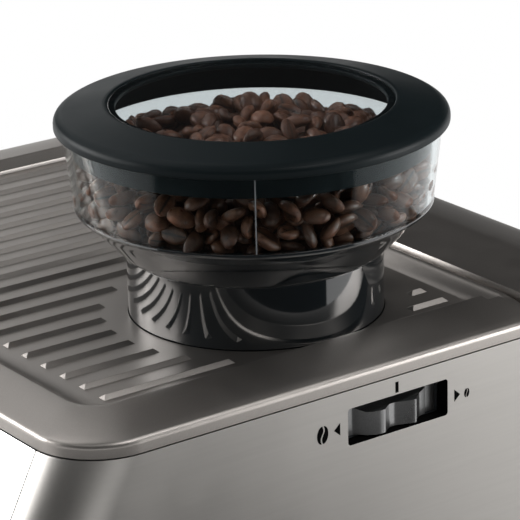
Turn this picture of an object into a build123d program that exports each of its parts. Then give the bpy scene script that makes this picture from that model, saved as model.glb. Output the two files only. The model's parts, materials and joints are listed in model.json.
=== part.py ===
# Bean-to-cup espresso machine with a built-in grinder, modelled from its separate pieces.
# Millimetres, +Z up, front towards -Y, the machine's right-hand side towards +X.
# Pieces are laid out about the middle of the casing and moved to the origin when written.
import os
from math import cos, pi, radians, sin, tan

from build123d import *

# Whole casing
body_width = 306.6
body_depth = 261.8
deck_height = 320.0
seam_drop = 4.5
sheet = 1.0
front_corner = 26.0
rear_corner = 10.0
fascia_lean = 27.0
fascia_height = 83.0
panel_wrap = 24.5
seam_gap = 0.5
overrun = 5.0
seat_gap = 0.3
running = 0.05
slide_gap = 0.4

# Roof: cup tray in front, tank lid behind
lip_height = 4.3
rim_rise = 4.4
side_rim = 25.4
front_rim = 19.6
crest_corner = 10.0
tray_wall = 4.5
tray_rear = 67.0
roof_split = 74.2
roof_skin = 2.0
roof_wall = 2.4
rib_pitch = 12.75
rib_count = 19
rib_width = 5.0
rib_height = 1.4
rib_front = -95.8
rib_rear = 57.5
rib_slope = 1.8
rib_clear_radius = 57.5

# Hopper, heights above the tray floor
hopper_inset = 79.6
hopper_y = 0.0
neck_radius = 47.8
neck_step = 0.6
neck_band_low = 16.9
neck_top = 24.0
neck_wall = 2.5
neck_spigot = 8.0
bowl_base_radius = 66.4
bowl_base = 42.7
bowl_top_radius = 69.7
bowl_top = 71.8
bowl_wall = 2.2
throat_radius = 24.0
funnel_wall = 2.0
funnel_rim = 7.5
lid_radius = 72.5
lid_low = 72.1
lid_edge = 76.5
lid_peak = 80.2
window_radius = 52.7
window_thick = 2.2
window_ledge = 3.0
lid_round = 0.6
window_drop = 0.4
lid_skin = 2.4
skirt_wall = 1.8
skirt_depth = 8.5
throat_ring_outer = 43.0
throat_ring_tall = 9.0
key_width = 8.0
key_count = 3

# Grind setting slider in the right-hand panel, heights below the tray floor
slot_length = 45.2
slot_height = 14.0
slot_centre_y = 4.0
slot_centre_drop = 18.9
slot_corner = 1.2
slider_length = 31.0
slider_thick = 6.0
wave_count = 3
wave_depth = 2.6
slider_travel = 6.0
slider_back = 4.0
rail_thick = 3.0
rail_grip = 2.5
peg_tall = 8.0
peg_below = 2.0
peg_neck_tall = 4.0
peg_radius = 2.0

# Grinder
adjust_outer = 39.0
adjust_tall = 14.0
arm_width = 12.0
arm_thick = 4.0
fork_gap = 0.15
fork_deep = 8.0
burr_outer = 29.0
burr_inner_top = 22.0
burr_inner_low = 19.0
burr_tall = 12.0
cone_top = 9.0
cone_low = 17.5
cone_tall = 18.0
flute_count = 7
cone_inset = 0.3
flute_radius = 1.3
burr_groove_count = 28
burr_groove_radius = 0.6
shaft_radius = 4.0
impeller_radius = 30.0
impeller_thick = 2.5
vane_count = 4
vane_tall = 3.0
vane_width = 2.0
shaft_proud = 4.0
chamber_wall = 3.0
chamber_gap = 1.5
chamber_floor = 4.0
bearing_radius = 8.0
bearing_long = 14.0
wheel_teeth = 60
pinion_teeth = 15
tooth_size = 0.8
gear_thick = 8.0
tooth_top = 0.8
tooth_foot = 1.1
tooth_tip_share = 0.14
tooth_root_share = 0.29
gear_drop = 8.0
motor_radius = 27.0
motor_long = 78.0
motor_boss = 8.0
motor_flange = 4.0
chute_width = 26.0
chute_deep = 22.0
chute_wall = 2.0
chute_gap = 0.1
outlet_forward = 95.0
outlet_reach = 8.0

# Brewing group
group_share = -0.248
group_y = -112.0
group_radius = 37.0
group_skirt = 26.0
group_top = 18.0
group_lip_radius = 31.8
group_lip = 6.0
groove_radius = 35.3
groove_tall = 7.0
gasket_inner = 26.0
gasket_thick = 6.0
screen_radius = 25.4
screen_thick = 1.5
screen_hole = 1.0
screen_row_count = 3
screen_first_count = 6
screw_radius = 2.5
screw_head = 4.5
screw_head_tall = 2.0
filter_radius = 27.4
filter_wall = 0.8
filter_deep = 28.0
filter_rim = 30.0
holder_outer = 31.2
holder_inner = 28.2
holder_deep = 36.0
holder_floor = 3.0
lug_reach = 3.4
lug_tall = 4.2
lug_sweep = 34.0
lug_count = 3
spout_radius = 8.0
spout_spread = 13.0
spout_drop = 18.0
spout_wall = 2.0
neck_rod_radius = 7.0
neck_rod_long = 24.0
spout_hub_tall = 6.0
spout_pipe_top = 4.5
spout_arm_low = 10.8
spout_pipe_roof = 7.2
spout_way_low = 9.0
spout_hole = 2.7
grip_long = 122.0
grip_slim = 11.0
grip_full = 15.0
grip_tip = 9.0
grip_drop = 27.0
grip_waist_share = 0.12
grip_full_share = 0.62
grip_shoulder_share = 0.86
grip_round_share = 0.93

# Grinder cradle under the head
cradle_inner = 33.5
cradle_wall = 4.0
cradle_tall = 26.0
cradle_shelf = 4.0
cradle_shelf_reach = 3.0
cradle_mouth_share = 0.62
trigger_radius = 3.5
trigger_travel = 4.0
trigger_proud = 6.0
collar_wall = 2.5

# Steam wand and knob
wand_inset = 27.3
wand_y = -118.0
ball_radius = 8.0
socket_radius = 13.0
socket_tall = 12.0
socket_wall = 2.5
socket_mouth = 3.0
socket_stem = 4.0
wand_radius = 4.0
wand_drop = 128.0
wand_out = 26.0
wand_stem = 24.0
grip_radius = 6.6
wand_grip_long = 38.0
grip_place_share = 0.32
tip_radius = 5.2
tip_long = 12.0
tip_hole = 0.9

# Front controls: places across as shares of half the width, places up along the sloping fascia
gauge_up = 50.0
gauge_radius = 25.0
gauge_bezel = 3.0
gauge_deep = 12.0
gauge_proud = 4.0
glass_thick = 1.5
glass_sunk = 0.75
needle_long = 17.0
needle_tail = 5.0
needle_width = 1.6
needle_thick = 0.8
needle_hub = 2.6
needle_start = 225.0
hub_tall = 1.6
dial_pin = 0.8
button_radius = 9.5
button_long = 9.0
button_proud = 2.0
button_flange = 1.6
button_flange_thick = 1.2
button_rise = 50.0
power_share = -0.574
one_cup_share = 0.0913
two_cup_share = 0.274
knob_radius = 17.0
knob_tall = 15.0
knob_spindle = 4.0
knob_stem = 14.0
knob_gap = 0.8
steam_knob_share = -0.789
steam_knob_up = 50.0
amount_dial_share = 0.6
amount_dial_up = 50.0
knob_flute_count = 18
knob_cut = 1.2
board_gap = 11.4
board_thick = 1.6
board_margin = 18.0
spacer_radius = 3.5
board_edge = 7.0
board_low_share = 0.42
board_high_share = 0.76

# Cup bay, base, drip tray and feet
column_front = -56.0
base_height = 58.0
foot_height = 8.0
foot_radius = 11.0
foot_inset = 26.0
foot_peg_radius = 4.0
foot_peg = 3.0
base_front = -186.0
base_wall = 6.0
base_floor = 5.0
tray_bay_rear = -62.0
tray_skin = 2.4
tray_face = 8.0
base_corner = 8.0
tray_face_low = 10.0
tray_face_top = 57.0
tray_top = 53.0
tray_slide_gap = 0.5
pull_radius = 16.0
pull_deep = 1.6
grid_thick = 2.0
grid_ledge = 3.0
grid_slot = 4.0
grid_bar = 4.0
grid_margin = 12.0
grid_bridge = 8.0
float_radius = 7.0
float_tall = 24.0
float_stem = 4.0
float_travel = 6.0
float_share = 0.626
float_y = -92.0
float_hole_gap = 1.0
float_below_grid = 0.5

# Water tank behind a bulkhead
bulkhead_y = 76.0
bulkhead_thick = 1.6
tank_front = 79.0
tank_side_gap = 1.5
tank_shelf = 150.0
tank_below_deck = 8.0
tank_wall = 2.4
tank_corner = 8.0
tank_rear_inset = 0.6
shelf_thick = 2.0
outlet_radius = 9.0
outlet_drop = 10.0
outlet_inset = 10.3

# Works in the column and head
block_width = 84.0
block_deep = 62.0
block_tall = 34.0
block_fin_count = 7
fin_deep = 4.0
fin_gap = 5.0
pump_radius = 21.0
pump_long = 74.0
pump_nose = 9.0
pump_nose_long = 14.0
pump_y = 22.0
pump_place_share = 0.587
mount_wide = 12.0
mount_spread = 37.0
hose_radius = 3.5
hose_bend = 12.0
hose_lead = 4.0
gland_radius = 8.0
gland_long = 12.0
gland_flange = 11.0
gland_flange_thick = 3.0
gland_share = 0.626
gland_below_base_top = 16.0
gland_bore = 4.0
vent_count = 9
vent_long = 46.0
vent_high = 4.0
vent_pitch = 9.0
casing_screw_radius = 2.4
casing_screw_head = 4.2
casing_screw_long = 6.0
casing_screw_head_tall = 1.6
casing_screw_slot = 1.05

# Heights and limits worked out from the sizes above
half_width = body_width / 2
half_depth = body_depth / 2
seam_height = deck_height - seam_drop
lip_top = seam_height + lip_height
crest_height = deck_height + rim_rise
head_low = seam_height - fascia_height
wrap_x = half_width - panel_wrap
lean = radians(fascia_lean)
slot_height_centre = deck_height - slot_centre_drop
panel_inner = half_width - sheet

# Places that follow the casing's size
hopper_x = half_width - hopper_inset
group_x = half_width * group_share
gauge_x = group_x
wand_x = wand_inset - half_width
power_x = half_width * power_share
one_cup_x = half_width * one_cup_share
two_cup_x = half_width * two_cup_share
steam_knob_x = half_width * steam_knob_share
amount_dial_x = half_width * amount_dial_share
float_x = half_width * float_share
gland_x = half_width * gland_share
gland_z = base_height - gland_below_base_top
tank_top = deck_height - tank_below_deck
tank_outlet_x = tank_side_gap + outlet_inset - wrap_x
pump_x = tank_outlet_x + hose_lead + hose_bend + pump_nose_long + pump_long / 2
pump_z = base_height + (tank_shelf - base_height) * pump_place_share


def block(x_limits, y_limits, z_limits):
    size = [high - low for low, high in (x_limits, y_limits, z_limits)]
    middle = [(high + low) / 2 for low, high in (x_limits, y_limits, z_limits)]
    return Pos(*middle) * Box(*size)


def rod(radius, low, high, x=0, y=0):
    from_base = (Align.CENTER, Align.CENTER, Align.MIN)
    return Pos(x, y, low) * Cylinder(radius, high - low, align=from_base)


def ring(outer, inner, low, high, x=0, y=0):
    return rod(outer, low, high, x, y) - rod(inner, low - overrun, high + overrun, x, y)


def turned(outline, x=0, y=0):
    # A solid of revolution about the upright line through x, y, from (radius, height) points
    points = [(radius, 0, height) for radius, height in outline]
    return Pos(x, y, 0) * revolve(make_face(Polyline(*points, close=True)), Axis.Z)


def rod_along(radius, start, end):
    # A round bar between two points in space
    line = Vector(*end) - Vector(*start)
    plane = Plane(origin=start, z_dir=line.normalized())
    from_base = (Align.CENTER, Align.CENTER, Align.MIN)
    return plane.location * Cylinder(radius, line.length, align=from_base)


def plan_outline(half_x, front, rear, front_radius, rear_radius):
    # Flat rounded rectangle seen from above
    corners = [(-half_x, front), (half_x, front), (half_x, rear), (-half_x, rear)]
    shape = make_face(Polyline(*corners, close=True))
    by_depth = shape.vertices().sort_by(Axis.Y)
    shape = fillet(by_depth[:2], front_radius)
    by_depth = shape.vertices().sort_by(Axis.Y)
    return fillet(by_depth[-2:], rear_radius)


def plan_slab(half_x, front, rear, front_radius, rear_radius, low, high):
    shape = plan_outline(half_x, front, rear, front_radius, rear_radius)
    return Pos(0, 0, low) * extrude(shape, high - low)


def fascia_line(height):
    # How far forward the sloping front stands at a height
    return -half_depth - (seam_height - height) * tan(lean)


def casing_section(height, inset):
    front = fascia_line(height) + inset / cos(lean)
    radius = front_corner - inset
    rear_radius = rear_corner - inset
    shape = plan_outline(half_width - inset, front, half_depth - inset, radius, rear_radius)
    return Pos(0, 0, height) * shape


def head_form(inset, low, high):
    return loft([casing_section(low, inset), casing_section(high, inset)], ruled=True)


def casing_shell():
    # The bent sheet round the head and the column, before it is parted into panels
    top = seam_height - seam_gap
    head = head_form(0, head_low, top)
    head -= head_form(sheet, head_low - overrun, top + overrun)
    column = plan_slab(half_width, column_front, half_depth, sheet, rear_corner,
                       base_height, head_low)
    column -= plan_slab(panel_inner, column_front - overrun, half_depth - sheet, sheet,
                        rear_corner - sheet, base_height - overrun, head_low + overrun)
    return head + column


def fascia_plane(x, up, out=0):
    # A place on the fascia: x across, up along its slope from the lower edge, out along its normal
    normal = Vector(0, -cos(lean), sin(lean))
    rise = Vector(0, sin(lean), cos(lean))
    foot = Vector(x, fascia_line(head_low), head_low)
    return Plane(origin=foot + rise * up + normal * out, x_dir=(1, 0, 0), z_dir=normal)


def fascia_rod(radius, x, up, low, high):
    from_base = (Align.CENTER, Align.CENTER, Align.MIN)
    plane = fascia_plane(x, up, low)
    return plane.location * Cylinder(radius, high - low, align=from_base)


def fascia_ring(outer, inner, x, up, low, high):
    return fascia_rod(outer, x, up, low, high) - fascia_rod(inner, x, up, low - overrun, high + overrun)


def roof_form():
    slab = plan_slab(half_width, -half_depth, half_depth, front_corner, rear_corner,
                     seam_height, lip_top)
    edge = plan_outline(half_width, -half_depth, half_depth, front_corner, rear_corner)
    crest = plan_outline(half_width - side_rim, -half_depth + front_rim, half_depth - front_rim,
                         crest_corner, crest_corner)
    slope = loft([Pos(0, 0, lip_top) * edge, Pos(0, 0, crest_height) * crest], ruled=True)
    return slab + slope


def tray_hollow():
    # The sunk floor of the cup tray, with sloping walls all round
    floor = plan_outline(half_width - side_rim - tray_wall, -half_depth + front_rim + tray_wall,
                         tray_rear - tray_wall, crest_corner - tray_wall, crest_corner - tray_wall)
    mouth = plan_outline(half_width - side_rim, -half_depth + front_rim, tray_rear,
                         crest_corner, crest_corner)
    walls = loft([Pos(0, 0, deck_height) * floor, Pos(0, 0, crest_height) * mouth], ruled=True)
    return walls + Pos(0, 0, crest_height) * extrude(mouth, overrun)


def tray_rib(x):
    # One rib, three-cornered in section, with its two ends sloped off
    foot_front = rib_front - rib_slope
    foot_rear = rib_rear + rib_slope
    half = rib_width / 2
    corners = [(x - half, 0, deck_height), (x + half, 0, deck_height), (x, 0, deck_height + rib_height)]
    section = make_face(Polyline(*corners, close=True))
    bar = Pos(0, foot_rear, 0) * extrude(section, foot_rear - foot_front, dir=(0, -1, 0))
    side = [(foot_front, deck_height), (foot_rear, deck_height),
            (rib_rear, deck_height + rib_height), (rib_front, deck_height + rib_height)]
    profile = make_face(Polyline(*[(x - half, y, z) for y, z in side], close=True))
    return bar & extrude(profile, rib_width, dir=(1, 0, 0))


def top_cover():
    cover = roof_form() - tray_hollow()
    cover &= block((-half_width, half_width), (-half_depth, roof_split), (seam_height, crest_height))
    cover -= plan_slab(half_width - roof_wall, -half_depth + roof_wall, roof_split - roof_wall,
                       front_corner - roof_wall, roof_wall, seam_height - overrun, deck_height - roof_skin)
    first = hopper_x + rib_first
    clear = rod(rib_clear_radius, deck_height - overrun, deck_height + overrun, hopper_x, hopper_y)
    ribs = [tray_rib(first - rib_pitch * count) - clear for count in range(rib_count)]
    cover = cover + [solid for rib in ribs for solid in rib.solids()]
    mouth = neck_radius + seat_gap
    return cover - rod(mouth, seam_height - overrun, crest_height + overrun, hopper_x, hopper_y)


def tank_lid():
    lid = roof_form() & block((-half_width, half_width), (roof_split + seam_gap, half_depth),
                              (seam_height, crest_height))
    hollow = block((-half_width + roof_wall, half_width - roof_wall),
                   (roof_split + seam_gap + roof_wall, half_depth - roof_wall),
                   (seam_height - overrun, deck_height))
    return lid - hollow


def panel_slot(growth, near, far):
    # The long window for the slider, cut through along X
    shape = RectangleRounded(slot_height + 2 * growth, slot_length + 2 * growth, slot_corner + growth)
    place = Pos(near, slot_centre_y, slot_height_centre) * Rot(0, 90, 0)
    return place * extrude(shape, far - near)


def side_panel(side):
    inner, outer = sorted((side * wrap_x, side * (half_width + overrun)))
    reach = fascia_line(head_low) - overrun
    panel = casing_shell() & block((inner, outer), (reach, half_depth), (base_height, seam_height))
    if side > 0:
        panel -= panel_slot(0, panel_inner - overrun, half_width + overrun)
    return panel


def front_fascia():
    face_x = wrap_x - seam_gap
    window = block((-face_x, face_x), (fascia_line(head_low) - overrun, -half_depth + front_corner / 2),
                   (head_low, seam_height))
    fascia = casing_shell() & window
    for x, up, radius in fascia_holes():
        fascia -= fascia_rod(radius, x, up, -overrun, overrun)
    return fascia


def fascia_holes():
    buttons = [(x, button_rise, button_radius + seat_gap) for x in (power_x, one_cup_x, two_cup_x)]
    knobs = [(steam_knob_x, steam_knob_up, knob_spindle + seat_gap),
             (amount_dial_x, amount_dial_up, knob_spindle + seat_gap)]
    return buttons + knobs + [(gauge_x, gauge_up, gauge_radius)]


def rear_panel():
    face_x = wrap_x - seam_gap
    panel = block((-face_x, face_x), (half_depth - sheet, half_depth),
                  (base_height, tank_shelf - shelf_thick))
    for count in range(vent_count):
        z = base_height + vent_pitch * (count + 1)
        for side in (-1, 1):
            middle = side * (vent_long / 2 + vent_pitch)
            panel -= block((middle - vent_long / 2, middle + vent_long / 2),
                           (half_depth - overrun, half_depth + overrun),
                           (z - vent_high / 2, z + vent_high / 2))
    for x, z in casing_screw_places():
        panel -= rod_along(casing_screw_radius + running, (x, half_depth - overrun, z),
                           (x, half_depth + overrun, z))
    return panel


def casing_screw_places():
    x = wrap_x - seam_gap - casing_screw_head * 2
    low = base_height + casing_screw_head * 2
    high = tank_shelf - shelf_thick - casing_screw_head * 2
    return [(side * x, z) for side in (-1, 1) for z in (low, high)]


def casing_screws():
    screws = []
    for x, z in casing_screw_places():
        head = rod_along(casing_screw_head, (x, half_depth, z), (x, half_depth + casing_screw_head_tall, z))
        cross = casing_screw_head / 2
        slit = casing_screw_slot / 2
        slot_low = half_depth + casing_screw_head_tall / 2
        for half_x, half_z in ((cross, slit), (slit, cross)):
            head -= block((x - half_x, x + half_x), (slot_low, half_depth + overrun),
                          (z - half_z, z + half_z))
        shank = rod_along(casing_screw_radius, (x, half_depth - casing_screw_long, z), (x, half_depth, z))
        screws.append(head + shank)
    return Compound([screw.solid() for screw in screws])


def splash_wall():
    # Bright wall behind the cups, closing the column between the side panels
    return block((-panel_inner, panel_inner), (column_front, column_front + sheet),
                 (base_height, head_low))


def head_underside():
    low, high = head_low - sheet, head_low
    front = fascia_line(low) + seat_gap
    plate = plan_slab(half_width, front, column_front, front_corner, sheet, low, high)
    plate -= rod(group_radius, low - overrun, high + overrun, group_x, group_y)
    plate -= rod(socket_radius - socket_wall, low - overrun, high + overrun, wand_x, wand_y)
    outlet = chute_box(chute_width / 2, chute_deep / 2, low - overrun, high + overrun)
    return plate - outlet


def chute_box(half_x, half_y, low, high):
    return block((hopper_x - half_x, hopper_x + half_x),
                 (-outlet_forward - half_y, -outlet_forward + half_y), (low, high))


def base_housing():
    body = plan_slab(half_width, base_front, half_depth, sheet, rear_corner, foot_height, base_height)
    bay = block((-half_width + base_wall, half_width - base_wall), (base_front - overrun, tray_bay_rear),
                (foot_height + base_floor, base_height + overrun))
    room = block((-half_width + base_wall, half_width - base_wall),
                 (tray_bay_rear + base_wall, half_depth - base_wall),
                 (foot_height + base_floor, base_height + overrun))
    body = body - bay - room
    for x, y in foot_places():
        body -= rod(foot_peg_radius + running, foot_height - overrun,
                    foot_height + foot_peg + running, x, y)
    body -= rod_along(gland_radius + running, (gland_x, half_depth - base_wall - overrun, gland_z),
                      (gland_x, half_depth + overrun, gland_z))
    return body


def foot_places():
    x = half_width - foot_inset
    return [(side * x, y) for side in (-1, 1) for y in (base_front + foot_inset, half_depth - foot_inset)]


def rubber_feet():
    feet = []
    for x, y in foot_places():
        foot = rod(foot_radius, 0, foot_height, x, y) + rod(foot_peg_radius, foot_height - running,
                                                            foot_height + foot_peg, x, y)
        feet.append(foot.solid())
    return Compound(feet)


def mains_gland():
    # Where a lead would enter; the lead itself isn't part of the model
    rear = half_depth + gland_flange_thick
    start = (gland_x, half_depth - base_wall - gland_long / 2, gland_z)
    gland = rod_along(gland_radius, start, (gland_x, half_depth, gland_z))
    gland += rod_along(gland_flange, (gland_x, half_depth, gland_z), (gland_x, rear, gland_z))
    return gland - rod_along(gland_bore, (gland_x, start[1] - overrun, gland_z),
                             (gland_x, rear + overrun, gland_z))


def inner_frame():
    # Bulkhead in front of the tank, its shelf, and the floor bracket that carries the works
    wall = block((-panel_inner, panel_inner), (bulkhead_y, bulkhead_y + bulkhead_thick),
                 (base_height, seam_height - lip_height))
    wall -= rod_along(hose_radius + seat_gap, (tank_outlet_x, bulkhead_y - overrun, pump_z),
                      (tank_outlet_x, bulkhead_y + overrun, pump_z))
    shelf = block((-wrap_x, wrap_x), (bulkhead_y, half_depth - sheet * 2),
                  (tank_shelf - shelf_thick, tank_shelf))
    shelf -= rod(outlet_radius + seat_gap, tank_shelf - overrun, tank_shelf + overrun,
                 tank_outlet_x, tank_middle_y())
    deck = block((-panel_inner, panel_inner), (column_front + sheet, bulkhead_y + bulkhead_thick),
                 (base_height, base_height + bulkhead_thick))
    return wall + shelf + deck


def tank_middle_y():
    return (tank_front + half_depth - tank_rear_inset) / 2


def water_tank():
    half_x = wrap_x - tank_side_gap
    rear = half_depth - tank_rear_inset
    front = tank_front
    low, high = tank_shelf + seat_gap, tank_top
    tank = plan_slab(half_x, front, rear, tank_corner, tank_corner, low, high)
    tank -= plan_slab(half_x - tank_wall, front + tank_wall, rear - tank_wall, tank_corner - tank_wall,
                      tank_corner - tank_wall, low + tank_wall, high + overrun)
    outlet = ring(outlet_radius, outlet_radius - tank_wall, tank_shelf - outlet_drop, low + tank_wall,
                  tank_outlet_x, tank_middle_y())
    bore = rod(outlet_radius - tank_wall, low - overrun, low + overrun, tank_outlet_x, tank_middle_y())
    return tank - bore + outlet


def hopper_lid_ring():
    z = deck_height
    taper = (bowl_top_radius - bowl_base_radius) / (bowl_top - bowl_base)
    skirt_outer = bowl_top_radius - bowl_wall - seat_gap * 2 - skirt_depth * taper
    inner = window_radius - window_ledge
    rise = (lid_peak - lid_edge) / (lid_radius - window_radius)
    under = z + lid_peak - lid_skin - window_thick
    outline = [(window_radius, z + lid_peak - window_drop - window_thick), (window_radius, z + lid_peak),
               (lid_radius - lid_round, z + lid_edge + lid_round * rise),
               (lid_radius, z + lid_edge - lid_round),
               (lid_radius, z + lid_low), (skirt_outer, z + lid_low),
               (skirt_outer, z + lid_low - skirt_depth),
               (skirt_outer - skirt_wall, z + lid_low - skirt_depth),
               (skirt_outer - skirt_wall, z + lid_low), (inner + lid_skin, under), (inner, under),
               (inner, z + lid_peak - window_drop - window_thick)]
    return turned(outline, hopper_x, hopper_y)


def hopper_lid_window():
    top = deck_height + lid_peak - window_drop
    return rod(window_radius - running, top - window_thick, top, hopper_x, hopper_y)


def hopper_bowl():
    z = deck_height
    lower_wall = (bowl_base_radius - neck_radius) / (bowl_base - neck_top)
    round_off = bowl_wall
    outline = [(neck_radius, z + neck_top),
               (bowl_base_radius - round_off, z + bowl_base - round_off / lower_wall),
               (bowl_base_radius, z + bowl_base + round_off / 2), (bowl_top_radius, z + bowl_top),
               (bowl_top_radius - bowl_wall, z + bowl_top),
               (bowl_base_radius - bowl_wall, z + bowl_base + round_off),
               (bowl_base_radius - bowl_wall - round_off, z + bowl_base + round_off / 2),
               (neck_radius - neck_wall, z + neck_top + bowl_wall), (neck_radius - neck_wall, z + neck_top)]
    return turned(outline, hopper_x, hopper_y)


def hopper_neck():
    # Dark collar under the bowl, with the funnel that leads the beans to the burrs
    z = deck_height
    foot = z - neck_spigot
    outline = [(neck_radius - neck_step, z + neck_top), (neck_radius - neck_step, z + neck_band_low),
               (neck_radius, z + neck_band_low - neck_step), (neck_radius, z),
               (throat_ring_outer, foot + neck_spigot / 2), (throat_ring_outer, foot),
               (throat_radius, foot), (throat_radius, foot + funnel_wall),
               (neck_radius - neck_wall - neck_step, z + neck_top)]
    neck = turned(outline, hopper_x, hopper_y)
    inner = neck_radius - neck_wall - neck_step
    hollow = turned([(throat_radius + funnel_wall * 2, foot + funnel_wall), (inner, z),
                     (inner, z + neck_top - funnel_rim)], hopper_x, hopper_y)
    keys = key_blocks(throat_radius + funnel_wall * 2, throat_radius + key_width + funnel_wall,
                      foot - throat_ring_tall / 2, foot)
    return neck - hollow + keys


def key_blocks(near, far, low, high, growth=0):
    # Keys that turn the throat ring with the hopper
    half = key_width / 2 + growth
    one = block((near - growth, far + growth), (-half, half), (low, high))
    middle = Pos(hopper_x, hopper_y, 0)
    return [middle * Rot(0, 0, 360 / key_count * turn) * one for turn in range(key_count)]


def throat_ring():
    high = deck_height - neck_spigot - seat_gap
    body = ring(throat_ring_outer, throat_radius, high - throat_ring_tall, high, hopper_x, hopper_y)
    pockets = key_blocks(throat_radius + funnel_wall * 2, throat_radius + key_width + funnel_wall,
                         high - throat_ring_tall + funnel_wall, high + overrun, seat_gap)
    for pocket in pockets:
        body -= pocket
    return body


def throat_low():
    return deck_height - neck_spigot - seat_gap - throat_ring_tall


def adjust_top():
    return throat_low() - seat_gap


def arm_radius():
    # From the burr axis to the slider's peg
    return half_width - hopper_x - slider_thick - slider_back - peg_radius * 2 - seat_gap * 2


def adjust_ring():
    high = adjust_top()
    low = high - adjust_tall
    carrier = ring(adjust_outer, burr_outer + running, low, high, hopper_x, hopper_y)
    tip = hopper_x + arm_radius() + peg_radius * 2
    arm = block((hopper_x + adjust_outer - arm_thick, tip), (-arm_width / 2, arm_width / 2),
                (low, low + arm_thick))
    gap = peg_radius + fork_gap
    notch = block((tip - fork_deep, tip + overrun), (-gap, gap), (low - overrun, low + overrun))
    return carrier + Pos(0, hopper_y, 0) * (arm - notch)


def upper_burr():
    high = adjust_top()
    low = high - burr_tall
    outline = [(burr_inner_low, low), (burr_outer, low), (burr_outer, high), (burr_inner_top, high)]
    burr = turned(outline, hopper_x, hopper_y)
    return burr - burr_grooves(burr_inner_low + flute_radius, low, high)


def burr_grooves(radius, low, high):
    # Upright cutting grooves round the inside of the upper burr
    groove = rod(burr_groove_radius, low - overrun, high + overrun, radius, 0)
    middle = Pos(hopper_x, hopper_y, 0)
    step = 360 / burr_groove_count
    return [middle * Rot(0, 0, step * turn) * groove for turn in range(burr_groove_count)]


def lower_burr():
    high = adjust_top()
    low = high - cone_tall
    foot = cone_low - cone_inset
    body = turned([(shaft_radius, low), (foot, low), (foot, low + impeller_thick),
                   (cone_top, high), (shaft_radius, high)], hopper_x, hopper_y)
    for turn in range(flute_count):
        flute = rod(flute_radius, low + impeller_thick * 2, high + overrun, cone_low - flute_radius / 2, 0)
        body -= Pos(hopper_x, hopper_y, 0) * Rot(0, 0, 360 / flute_count * turn) * flute
    return body


def impeller_low():
    return adjust_top() - cone_tall - impeller_thick


def impeller():
    low = impeller_low()
    disc = ring(impeller_radius, shaft_radius, low, low + impeller_thick, hopper_x, hopper_y)
    for turn in range(vane_count):
        vane = block((cone_low, impeller_radius), (-vane_width / 2, vane_width / 2),
                     (low + impeller_thick, low + impeller_thick + vane_tall))
        disc += Pos(hopper_x, hopper_y, 0) * Rot(0, 0, 360 / vane_count * turn + 180 / vane_count) * vane
    return disc


def chamber_low():
    return impeller_low() - chamber_gap - chamber_floor


def chamber_radius():
    return impeller_radius + chamber_gap + chamber_wall


def grinder_housing():
    # Grinding chamber, open at the top for the burr carrier, with the shaft's bearing below
    low = chamber_low()
    high = adjust_top() - adjust_tall - seat_gap
    outer = chamber_radius()
    outline = [(shaft_radius + running, low - bearing_long), (bearing_radius, low - bearing_long),
               (bearing_radius, low), (outer, low), (outer, high),
               (outer - chamber_wall, high), (outer - chamber_wall, low + chamber_floor),
               (shaft_radius + running, low + chamber_floor)]
    body = turned(outline, hopper_x, hopper_y)
    port = block((hopper_x - chute_width / 2 + chute_wall, hopper_x + chute_width / 2 - chute_wall),
                 (-outer - overrun, -outer + overrun * 2), (low + chamber_floor, high + overrun))
    lug_z = (low, low + chamber_floor)
    lugs = block((hopper_x - motor_radius, hopper_x + motor_radius), (outer - chamber_wall, bulkhead_y),
                 lug_z)
    return body - port + lugs


def shaft_low():
    return gear_low() - chamber_floor


def gear_low():
    return chamber_low() - bearing_long - gear_drop


def burr_shaft():
    return rod(shaft_radius - running / 2, shaft_low(), adjust_top() + shaft_proud, hopper_x, hopper_y)


def gear_solid(teeth, bore, low, turn):
    pitch_radius = tooth_size * teeth / 2
    tip = pitch_radius + tooth_top * tooth_size
    root = pitch_radius - tooth_foot * tooth_size
    step = 2 * pi / teeth
    points = []
    for tooth in range(teeth):
        middle = step * tooth
        for share, radius in ((-tooth_root_share, root), (-tooth_tip_share, tip),
                              (tooth_tip_share, tip), (tooth_root_share, root)):
            angle = middle + step * share
            points.append((radius * cos(angle), radius * sin(angle)))
    blank = extrude(make_face(Polyline(*points, close=True)), gear_thick)
    return Pos(0, 0, low) * Rot(0, 0, turn) * (blank - rod(bore, -overrun, gear_thick + overrun))


def drive_gear():
    return Pos(hopper_x, hopper_y, 0) * gear_solid(wheel_teeth, shaft_radius, gear_low(), 90)


def motor_y():
    return hopper_y + tooth_size * (wheel_teeth + pinion_teeth) / 2


def motor_pinion():
    gap_turn = -90 - 180 / pinion_teeth
    pinion = Pos(hopper_x, motor_y(), 0) * gear_solid(pinion_teeth, shaft_radius / 2, gear_low(), gap_turn)
    spindle = rod(shaft_radius / 2, gear_low() - motor_flange, gear_low() + gear_thick, hopper_x, motor_y())
    return pinion + spindle


def motor_top():
    return gear_low() - motor_flange


def grinder_motor():
    high = motor_top()
    low = high - motor_long
    can = rod(motor_radius, low, high - seat_gap, hopper_x, motor_y())
    nose = rod(motor_boss, low - motor_flange, low, hopper_x, motor_y())
    strap = block((hopper_x - motor_boss, hopper_x + motor_boss),
                  (motor_y() + motor_radius - motor_flange, bulkhead_y),
                  (low + motor_boss, high - motor_boss))
    return can + nose + strap


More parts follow.
